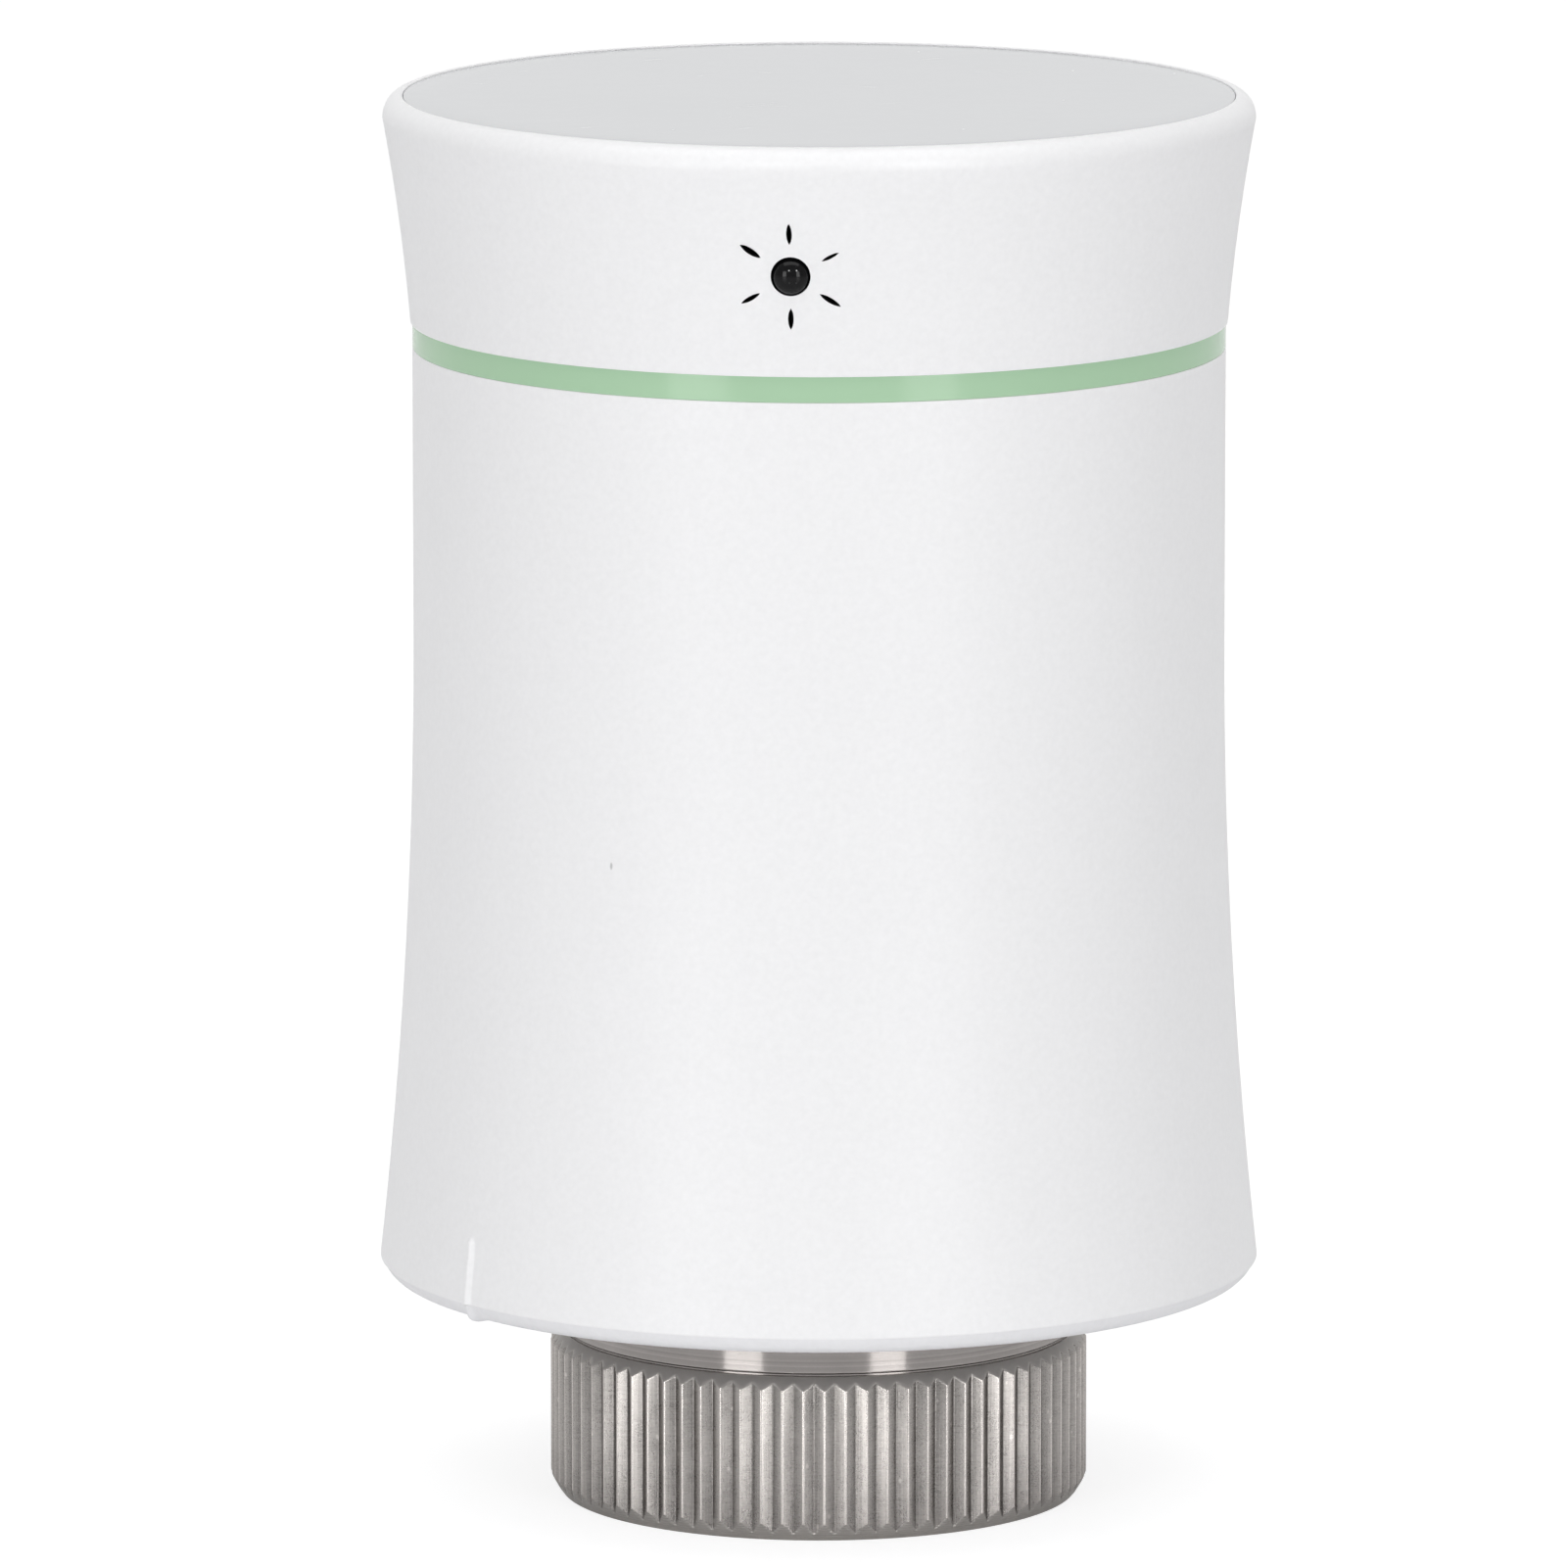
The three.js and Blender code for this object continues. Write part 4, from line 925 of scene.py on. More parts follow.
CHIP = Moulded(Slot.CHIP, linear(27, 28, 30), gloss=0.5, grain=6, grain_depth=0.01)
PANEL = Moulded(Slot.CHIP, linear(34, 37, 42), gloss=0.14, grain=1, grain_depth=0.001)
CELL_COLOURS = (linear(57, 66, 77), linear(196, 148, 82), linear(190, 190, 192))
BOARD_COLOURS = (linear(31, 91, 58), linear(70, 128, 84), linear(196, 198, 200))
BOARD_FLAT = Board(Slot.BOARD, *BOARD_COLOURS, across=0, along=1)
BOARD_UPRIGHT = Board(Slot.BOARD, *BOARD_COLOURS, across=0, along=2)


# ---------------------------------------------------------------------- Mesh building

LONGEST_REACH = 0.48  # of the edge that a softened corner takes up
THREAD_RUN_OUT = 0.4  # in pitches
THREAD_SHAPE: tuple[Point, ...] = (  # place in a pitch, and share of the full depth
    (0, 0), (0.115, 0), (0.15, 0.08), (0.28, 0.5), (0.42, 0.96), (0.46, 1),
    (0.54, 1), (0.58, 0.96), (0.72, 0.5), (0.85, 0.08), (0.885, 0),
)


def rounded(corners: Iterable[tuple[float, float, float]], steps: int = 4) -> list[Point]:
    """Closed outline with softened corners.

    Args:
        corners: Radius, height and how far back the softening starts, for each corner.
        steps: Number of edges in a softened corner.

    Returns:
        The outline's points.
    """
    places = list(corners)
    outline: list[Point] = []
    for index, (radius, height, reach) in enumerate(places):
        here = np.array([radius, height])
        if reach == 0:
            outline.append((radius, height))
            continue
        ends = []
        for other in (places[index - 1], places[(index + 1) % len(places)]):
            line = np.array(other[:2]) - here
            length = np.linalg.norm(line)
            ends.append(here + line * min(reach, LONGEST_REACH * length) / length)
        for share in np.linspace(0, 1, steps + 1):
            point = (
                (1 - share) ** 2 * ends[0] + 2 * share * (1 - share) * here + share**2 * ends[1]
            )
            outline.append((float(point[0]), float(point[1])))
    return outline


def full_turn(
    count: int, dense: float | None = None, half: float = 1, step: float = 0.1
) -> np.ndarray:
    """Angles of the columns round a turn, in radians.

    Args:
        count: Number of evenly spaced columns.
        dense: Angle about which columns stand closer, if any.
        half: How far to each side of it they do, in degrees.
        step: Their spacing there, in degrees.

    Returns:
        Rising angles, the first of which isn't repeated at the end.
    """
    even = np.arange(count) * 360 / count
    if dense is None:
        return np.radians(even)
    middle = dense % 360
    fine = middle + np.arange(-half, half + step / 2, step)
    spare = even[np.abs(even - middle) > half + step / 2]
    return np.radians(np.sort(np.concatenate([spare, fine])))


def smooth_step(share: np.ndarray) -> np.ndarray:
    """Eases a share from 0 to 1 in and out."""
    return share * share * (3 - 2 * share)


def set_shading(mesh: bpy.types.Mesh, crease: float) -> None:
    """Shades a mesh smooth and keeps the edges sharper than `crease` sharp."""
    mesh.shade_smooth()
    mesh.set_sharp_from_angle(angle=math.radians(crease))


class Form:
    """Points and faces in millimetres that are gathered into one mesh."""

    def __init__(self) -> None:
        """Starts empty."""
        self.points: list[np.ndarray] = []
        self.faces: list[tuple[int, ...]] = []
        self.slots: list[int] = []
        self.count = 0

    def add(self, points: np.ndarray) -> np.ndarray:
        """Adds a row of points and returns their numbers."""
        self.points.append(np.asarray(points, float).reshape(-1, 3))
        first = self.count
        self.count += len(self.points[-1])
        return np.arange(first, self.count)

    def ring(
        self, angles: np.ndarray, radius: float | np.ndarray, height: float | np.ndarray
    ) -> np.ndarray:
        """Adds one ring of points about the Z axis."""
        flat = np.zeros_like(angles)
        return self.add(np.stack(
            [(radius + flat) * np.cos(angles), (radius + flat) * np.sin(angles), height + flat], 1
        ))

    def face(self, corners: Iterable[int], slot: int = 0) -> None:
        """Adds one face."""
        self.faces.append(tuple(int(corner) for corner in corners))
        self.slots.append(int(slot))

    def bridge(
        self, first: np.ndarray, second: np.ndarray, slot: int = 0, closed: bool = True
    ) -> None:
        """Joins two rings with faces.

        Args:
            first: The numbers of one ring's points.
            second: Those of the other, as many or a whole multiple of as many.
            slot: The faces' place in the list of finishes.
            closed: Whether the last points join up with the first ones.
        """
        few, many = (first, second) if len(first) <= len(second) else (second, first)
        ratio = len(many) // len(few)
        for index in range(len(few) if closed else len(few) - 1):
            after = (index + 1) % len(few)
            span = [many[(index * ratio + k) % len(many)] for k in range(ratio, -1, -1)]
            self.face([few[index], few[after], *span], slot)

    def wrap(self, rings: Sequence[np.ndarray], slot: int = 0, closed: bool = True) -> None:
        """Joins each ring to the next one, and the last ring to the first."""
        for ring, following in zip(rings, [*rings[1:], rings[0]]):
            self.bridge(ring, following, slot, closed)

    def revolve(self, outline: Sequence[Point], angles: np.ndarray, slot: int = 0) -> None:
        """Turns a closed outline through a full turn."""
        self.wrap([self.ring(angles, radius, height) for radius, height in outline], slot)

    def sector(
        self, outline: Sequence[Point], middle: float, width: float, steps: int = 10, slot: int = 0
    ) -> None:
        """Turns a closed outline through part of a turn and caps both ends.

        Args:
            outline: Radius and height of each corner.
            middle: Angle of the sector's middle.
            width: Angle that it spans.
            steps: Number of columns of faces.
            slot: The faces' place in the list of finishes.
        """
        angles = np.radians(np.linspace(middle - width / 2, middle + width / 2, steps + 1))
        rings = [self.ring(angles, radius, height) for radius, height in outline]
        self.wrap(rings, slot, closed=False)
        self.face([ring[0] for ring in rings], slot)
        self.face([ring[-1] for ring in reversed(rings)], slot)

    def thread(
        self, crest: float, root: float, low: float, high: float, pitch: float,
        angles: np.ndarray, slot: int = 0,
    ) -> None:
        """Adds a helical V thread whose ends run out into plain rings of the crest's radius.

        Args:
            crest: Radius of the thread's crests.
            root: Radius of its roots, larger for an inner thread and smaller for an outer one.
            low: Height of the lower ring.
            high: Height of the upper ring.
            pitch: Rise in one turn.
            angles: Angles of the columns.
            slot: The faces' place in the list of finishes.
        """
        turns = math.ceil((high - low) / pitch) + 2
        run_out = THREAD_RUN_OUT * pitch
        around = np.append(angles, angles[0] + 2 * math.pi)
        rise = (around - around[0]) / (2 * math.pi)
        rows = []
        for turn in range(-1, turns):
            for phase, depth in THREAD_SHAPE:
                height = low + pitch * (turn + phase + rise)
                inside = np.clip(height, low, high)
                fade = np.clip((inside - low) / run_out, 0, 1)
                fade = fade * np.clip((high - inside) / run_out, 0, 1)
                radius = crest + (root - crest) * depth * fade
                rows.append(self.ring(around, radius, inside))
        for row, following in zip(rows, rows[1:]):
            self.bridge(row, following, slot, closed=False)

    def prism(self, outline: np.ndarray, offset: np.ndarray, slot: int = 0) -> None:
        """Moves a flat outline along an offset and closes both ends.

        Args:
            outline: The points of the outline.
            offset: The move from the near end to the far one.
            slot: The faces' place in the list of finishes.
        """
        near = self.add(outline)
        far = self.add(np.asarray(outline) + offset)
        self.bridge(near, far, slot)
        self.face(near, slot)
        self.face(far[::-1], slot)

    def build(
        self, name: str, finishes: Sequence[Finish], crease: float = CREASE,
        pose: Matrix | None = None,
    ) -> bpy.types.Object:
        """Makes the Blender object.

        Args:
            name: The object's name.
            finishes: The finishes that the faces' slots count through.
            crease: Edges sharper than this angle stay sharp.
            pose: Turn and shift in millimetres to apply to every point, if any.

        Returns:
            The object, with its points in the frame's metres.
        """
        points = np.concatenate(self.points)
        if pose is not None:
            turn = np.array(pose)
            points = points @ turn[:3, :3].T + turn[:3, 3]
        mesh = bpy.data.meshes.new(name)
        mesh.from_pydata((points * MM).tolist(), [], self.faces)
        mesh.polygons.foreach_set("material_index", self.slots)
        for finish in finishes:
            mesh.materials.append(material(finish))
        work = bmesh.new()
        work.from_mesh(mesh)
        bmesh.ops.remove_doubles(work, verts=work.verts, dist=WELD)
        loose = [edge for edge in work.edges if not edge.link_faces]
        bmesh.ops.delete(work, geom=loose, context="EDGES")
        bmesh.ops.recalc_face_normals(work, faces=work.faces)
        work.to_mesh(mesh)
        work.free()
        set_shading(mesh, crease)
        made = bpy.data.objects.new(name, mesh)
        bpy.context.scene.collection.objects.link(made)
        return made


def carve(target: bpy.types.Object, cutter: bpy.types.Object) -> None:
    """Cuts one object out of another, whose cut faces take the cutter's finish.

    Args:
        target: The object that is cut.
        cutter: The object that is cut out, and then removed.
    """
    modifier = target.modifiers.new("carve", "BOOLEAN")
    modifier.operation = "DIFFERENCE"
    modifier.solver = "EXACT"
    modifier.material_mode = "TRANSFER"
    modifier.object = cutter
    bpy.context.view_layer.update()
    graph = bpy.context.evaluated_depsgraph_get()
    mesh = bpy.data.meshes.new_from_object(target.evaluated_get(graph), depsgraph=graph)
    target.modifiers.clear()
    target.data = mesh
    bpy.data.objects.remove(cutter)
    set_shading(mesh, CREASE)


class Assembly(ABC):
    """A sub-assembly that builds its pieces and dresses its frame nodes."""

    @abstractmethod
    def build(self) -> None:
        """Makes every piece of the sub-assembly."""

    @staticmethod
    def fit(piece: bpy.types.Object, body: Body, slot: Slot, *nodes: str) -> bpy.types.Object:
        """Lets a piece ride on a body in place of frame nodes.

        Args:
            piece: The finished object.
            body: The body that it moves with.
            slot: The record's slot of its finish; not used.
            nodes: The frame nodes that it stands for.

        Returns:
            The same object.
        """
        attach(piece, body.value)
        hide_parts(*nodes)
        log.info("%s: %d faces, rides on %s", piece.name, len(piece.data.polygons), body.value)
        return piece

    @staticmethod
    def dress(finish: Finish, *nodes: str) -> None:
        """Gives frame nodes a finish."""
        for node in nodes:
            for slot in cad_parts[node].material_slots:
                slot.material = material(finish)
            log.info("%s: dressed as %s", node, type(finish).__name__)


# ---------------------------------------------------------------------- Alignment rib


@dataclass(frozen=True)
class Rib:
    """Raised alignment rib that crosses the seam between the foot plate and the sleeve."""

    angle: float = -142.4
    half_width: float = 0.45
    fall: float = 0.38
    proud: float = 0.26
    knob_angle: float = -142.9
    knob_half_width: float = 1.0
    knob_proud: float = 0.24
    column_width: float = 0.05
    columns_aside: int = 26

    def columns(self, count: int, radius: float) -> np.ndarray:
        """Angles round a turn that stand closer about the rib."""
        step = math.degrees(self.column_width / radius)
        return full_turn(count, self.angle, self.columns_aside * step, step)

    def height(self, angles: np.ndarray, radius: float, beyond: float) -> np.ndarray:
        """Height of the rib over the surface.

        Args:
            angles: Angles of the columns, in radians.
            radius: Radius of the surface.
            beyond: How far past the centre of the rib's round end the row lies; 0 if not past it.

        Returns:
            The height in each column.
        """
        distance = np.hypot(self._away(angles, self.angle) * radius, max(beyond, 0))
        share = np.clip((self.half_width - distance) / self.fall, 0, 1)
        return self.proud * smooth_step(share)

    def knob(self, angles: np.ndarray, radius: float, beyond: float) -> np.ndarray:
        """Height of the soft knob in which the rib ends.

        Args:
            angles: Angles of the columns, in radians.
            radius: Radius of the surface.
            beyond: How far the row lies from the knob's centre along the surface.

        Returns:
            The height in each column.
        """
        distance = np.hypot(self._away(angles, self.knob_angle) * radius, beyond)
        share = np.clip(1 - distance / self.knob_half_width, 0, 1)
        return self.knob_proud * smooth_step(share)

    @staticmethod
    def _away(angles: np.ndarray, middle: float) -> np.ndarray:
        """Angle in radians from a middle, given in degrees, to each column."""
        return (angles - math.radians(middle) + math.pi) % (2 * math.pi) - math.pi


# ---------------------------------------------------------------------- Sub-assemblies


@dataclass
class ValveSide(Assembly):
    """Union nut, valve collar, clip and foot plate."""

    rib: Rib
    visual_seam: float = 0.012
    frame_seam: float = 0.1
    inset: float = 0.1

    # Union nut
    teeth: int = 80
    first_tooth: float = 0.25  # in teeth
    tooth_depth: float = 0.38
    tooth_columns: tuple[float, ...] = (0, 0.025, 0.05, 0.08, 0.2, 0.32, 0.44, 0.475)
    crest_rounding: float = 0.045  # in teeth
    valley_rounding: float = 0.03
    cone_rows: tuple[float, ...] = (0.0, 0.06, 0.2, 0.4, 0.65, 0.85)
    cone_bulge: float = 0.05
    foot_chamfer: Point = (0.7, 1.15)
    neck_chamfer: Point = (0.8, 0.82)
    neck_height: float = 3.17
    neck_edge: float = 0.2
    groove: Point = (0.14, 0.16)  # depth and height
    lip_thickness: float = 2.9
    lip_bore: float = 12.788
    lip_edge: float = 0.15
    thread_root: float = 15.0
    thread_crest: float = 14.188
    thread_pitch: float = 1.5
    thread_chamfer: float = 0.8
    thread_gap: float = 0.3  # under the collar
    relief_radius: float = 15.05
    edge: float = 0.07
    coarser: int = 4  # knurl columns to one column of the neck and bore
    knurl_crease: float = 50

    # Collar
    collar_bore: float = 9.588
    collar_tube: float = 12.488
    flange: float = 2.0
    clip_groove: Point = (0.7, 0.9)  # depth and height
    seat_rounding: float = 0.25
    flange_rounding: float = 0.15
    groove_rounding: float = 0.05
    rounding: float = 0.2

    # Foot plate
    fillet: float = 1.44
    plate_thickness: float = 1.92
    plate_bore: float = 12.788
    ring_radii: Point = (21.8, 23.2)
    lug_height: float = 1.3
    lug_reach: float = 1.9
    lug_angle: float = 24
    lugs: tuple[float, ...] = (90, 210, 330)
    sleeve_wall: float = 1.9
    rib_end: float = 0.5  # from the lower face to the centre of the rib's round end
    knob_turn: float = -66  # where the rib's knob sits on the lip's rounding
    lip_rows: int = 37
    step_gap: float = 0.6  # between the plate's step and the sleeve's wall
    plate_edge: float = 0.15
    root: float = 0.5  # how deep a ring or a lug starts inside what carries it

    def build(self) -> None:
        """Builds the nut, the collar and the plate, and dresses the clip."""
        self.fit(self._nut(), Body.NUT, Slot.NICKEL, "union_nut")
        self.fit(self._collar(), Body.VALVE, Slot.NICKEL, "valve_collar")
        self.fit(self._plate(), Body.VALVE, Slot.WHITE_SHELL, "backplate")
        self.dress(SPRING, "retaining_clip")

    def _tooth(self) -> tuple[np.ndarray, np.ndarray]:
        """Lays out the knurl round the nut.

        Returns:
            The angle of each column in radians, and its height from 0 in a valley to 1 on a crest.
        """
        half = np.array(self.tooth_columns)
        shares = np.concatenate([half, [0.5], 1 - half[:0:-1]])
        teeth = np.arange(self.teeth)[:, None]
        angles = 2 * math.pi * (teeth + self.first_tooth + shares) / self.teeth
        away = np.minimum(shares, 1 - shares)
        crest, valley = self.crest_rounding, self.valley_rounding
        height = 1 - 2 * away
        height = np.where(away < crest, 1 - (away**2 + crest**2) / crest, height)
        low = 0.5 - away
        height = np.where(low < valley, (low**2 + valley**2) / valley, height)
        return angles.ravel(), np.tile(height, self.teeth)

    def _nut(self) -> bpy.types.Object:
        """Knurled nut with chamfered teeth, a turned neck and an inner thread.

        Returns:
            The finished nut.
        """
        extent = Extent.of("union_nut")
        crest = extent.radius
        neck_start = extent.top - self.neck_height
        foot = crest - self.foot_chamfer[0]
        neck = crest - self.neck_chamfer[0]
        angles, height = self._tooth()
        radii = crest - self.tooth_depth * (1 - height)
        low = self.foot_chamfer[1] * (radii - foot) / self.foot_chamfer[0]
        high = neck_start - self.neck_chamfer[1] * (radii - neck) / self.neck_chamfer[0]
        form = Form()
        rows = self._chamfer_rows(foot, 0, radii, low)
        chamfer_rows = len(rows)
        rows += [(radii, low + self.edge), (radii, (low + high) / 2), (radii, high - self.edge)]
        rows += reversed(self._chamfer_rows(neck, neck_start, radii, high))
        rings = [form.ring(angles, radius, z) for radius, z in rows]
        for index, (ring, following) in enumerate(zip(rings, rings[1:])):
            on_teeth = chamfer_rows - 1 <= index < len(rings) - chamfer_rows
            form.bridge(ring, following, NutFace.KNURL if on_teeth else NutFace.CHAMFER)
        inner = angles[:: self.coarser]
        self._neck_and_bore(form, inner, rings[0], rings[-1], neck, neck_start, extent.top)
        finishes = [
            Knurled(Slot.NICKEL, KNURL_COLOUR, crest, crest - self.tooth_depth),
            CHAMFER, NECK, THREAD,
        ]
        return form.build("union_nut_knurled", finishes, crease=self.knurl_crease)

    def _chamfer_rows(
        self, start: float, base: float, radii: np.ndarray, ends: np.ndarray
    ) -> list[tuple[np.ndarray, np.ndarray]]:
        """Rows up one of the nut's end cones, with the edge against the teeth softened.

        Args:
            start: Radius of the cone's plain end.
            base: Height of that end.
            radii: The teeth's radius in each column.
            ends: Height at which the cone meets the teeth in each column.

        Returns:
            Radius and height of each row, from the plain end to the start of the teeth.
        """
        length = np.hypot(radii - start, ends - base)
        back = 1 - self.edge / length
        rows = [
            (
                start + (radii - start) * share + self.cone_bulge * 4 * share * (1 - share),
                base + (ends - base) * share,
            )
            for share in self.cone_rows
        ]
        rows.append((start + (radii - start) * back, base + (ends - base) * back))
        away = np.sign(ends - base)
        rows.append((radii - self.edge * 0.16, ends + away * self.edge * 0.05))
        return rows

    def _neck_and_bore(
        self, form: Form, angles: np.ndarray, foot_ring: np.ndarray, cone_ring: np.ndarray,
        neck: float, start: float, top: float,
    ) -> None:
        """Closes the nut with its turned neck, lip, relief, thread and entry chamfer.

        Args:
            form: The form that holds the knurl.
            angles: Angles of the coarser columns.
            foot_ring: The knurl's ring on the foot.
            cone_ring: The knurl's ring at the neck.
            neck: Radius of the neck.
            start: Height of the neck's foot.
            top: Height of the nut.
        """
        collar = Extent.of("valve_collar")
        under_lip = top - self.lip_thickness
        thread_top = collar.bottom - self.thread_gap
        depth, width = self.groove
        edge = self.neck_edge
        outlines = {
            NutFace.NECK: [
                (neck - depth, start), (neck - depth, start + width * 0.6),
                (neck - depth * 0.3, start + width), (neck, start + width * 1.4),
                (neck, start + width * 1.7), (neck, top - edge * 1.3), (neck, top - edge),
                (neck - edge * 0.3, top - edge * 0.3), (neck - edge, top),
            ],
            NutFace.CHAMFER: [
                (self.lip_bore + self.lip_edge, top), (self.lip_bore, top - self.lip_edge),
            ],
            NutFace.BORE: [
                (self.lip_bore, under_lip), (self.relief_radius, under_lip),
                (self.relief_radius, thread_top), (self.thread_crest, thread_top),
            ],
        }
        ring = cone_ring
        for slot, outline in outlines.items():
            for radius, height in outline:
                following = form.ring(angles, radius, height)
                form.bridge(ring, following, slot)
                ring = following
        form.thread(
            self.thread_crest, self.thread_root, self.thread_chamfer, thread_top,
            self.thread_pitch, angles, NutFace.BORE,
        )
        entry = form.ring(angles, self.thread_crest, self.thread_chamfer)
        mouth = form.ring(angles, self.thread_crest + self.thread_chamfer, 0.0)
        form.bridge(entry, mouth, NutFace.CHAMFER)
        form.bridge(mouth, foot_ring, NutFace.CHAMFER)

    def _collar(self) -> bpy.types.Object:
        """Turned collar with its seat, flange and clip groove.

        Returns:
            The finished collar.
        """
        extent = Extent.of("valve_collar")
        clip = Extent.of("retaining_clip")
        flange_top = extent.bottom + self.flange
        depth, height = self.clip_groove
        groove_low = clip.bottom - (height - (clip.top - clip.bottom)) / 2
        groove = self.collar_tube - depth
        outline = rounded([
            (self.collar_bore, extent.bottom, self.seat_rounding),
            (extent.radius, extent.bottom, self.rounding),
            (extent.radius, flange_top, self.flange_rounding),
            (self.collar_tube, flange_top, 0),
            (self.collar_tube, groove_low, self.groove_rounding),
            (groove, groove_low, 0),
            (groove, groove_low + height, 0),
            (self.collar_tube, groove_low + height, self.groove_rounding),
            (self.collar_tube, extent.top, self.rounding),
            (self.collar_bore, extent.top, self.rounding),
        ])
        form = Form()
        form.revolve(outline, full_turn(Columns.TURNED))
        return form.build("valve_collar_turned", [THREAD])

    def _plate(self) -> bpy.types.Object:
        """Foot plate with its rounded lip, half of the rib, and the bayonet's ring and lugs.

        Returns:
            The finished plate.
        """
        extent = Extent.of("backplate")
        sleeve = Extent.of("outer_sleeve")
        middle = extent.bottom + self.fillet
        frame_angle = math.asin((sleeve.bottom - self.frame_seam - middle) / self.fillet)
        centre = extent.radius - self.inset - self.fillet * math.cos(frame_angle)
        lip_top = sleeve.bottom - self.visual_seam
        last = math.asin((lip_top - middle) / self.fillet)
        plate_top = extent.bottom + self.plate_thickness
        step = sleeve.radius - self.sleeve_wall - self.step_gap
        angles = self.rib.columns(Columns.SMOOTH, extent.radius)
        form = Form()
        rings = []
        for turn in np.linspace(-math.pi / 2, last, self.lip_rows):
            radius = centre + self.fillet * math.cos(turn)
            height = middle + self.fillet * math.sin(turn)
            beyond = extent.bottom + self.rib_end - height
            arc = self.fillet * (turn - math.radians(self.knob_turn))
            proud = self.rib.height(angles, radius, beyond) + self.rib.knob(angles, radius, arc)
            rings.append(form.ring(
                angles, radius + proud * math.cos(turn), height + proud * math.sin(turn)
            ))
        for radius, height in (
            (centre + 0.4, lip_top), (step, lip_top), (step, plate_top),
            (self.plate_bore, plate_top), (self.plate_bore, extent.bottom + self.plate_edge),
            (self.plate_bore + self.plate_edge, extent.bottom), (centre - 0.5, extent.bottom),
        ):
            rings.append(form.ring(angles, radius, height))
        form.wrap(rings)
        inner, outer = self.ring_radii
        form.revolve(rounded([
            (inner, plate_top - self.root, 0), (outer, plate_top - self.root, 0),
            (outer, extent.top, self.rounding), (inner, extent.top, self.rounding),
        ]), full_turn(Columns.HIDDEN))
        lug_bottom = extent.top - self.lug_height
        for angle in self.lugs:
            form.sector(rounded([
                (outer - self.root, lug_bottom, 0),
                (outer + self.lug_reach, lug_bottom, self.rounding),
                (outer + self.lug_reach, extent.top, self.rounding),
                (outer - self.root, extent.top, 0),
            ]), angle, self.lug_angle)
        # the foot plate takes the darker copy of the white shell: painted shade
        return form.build("foot_plate", [SHADED_FOOT_WHITE])


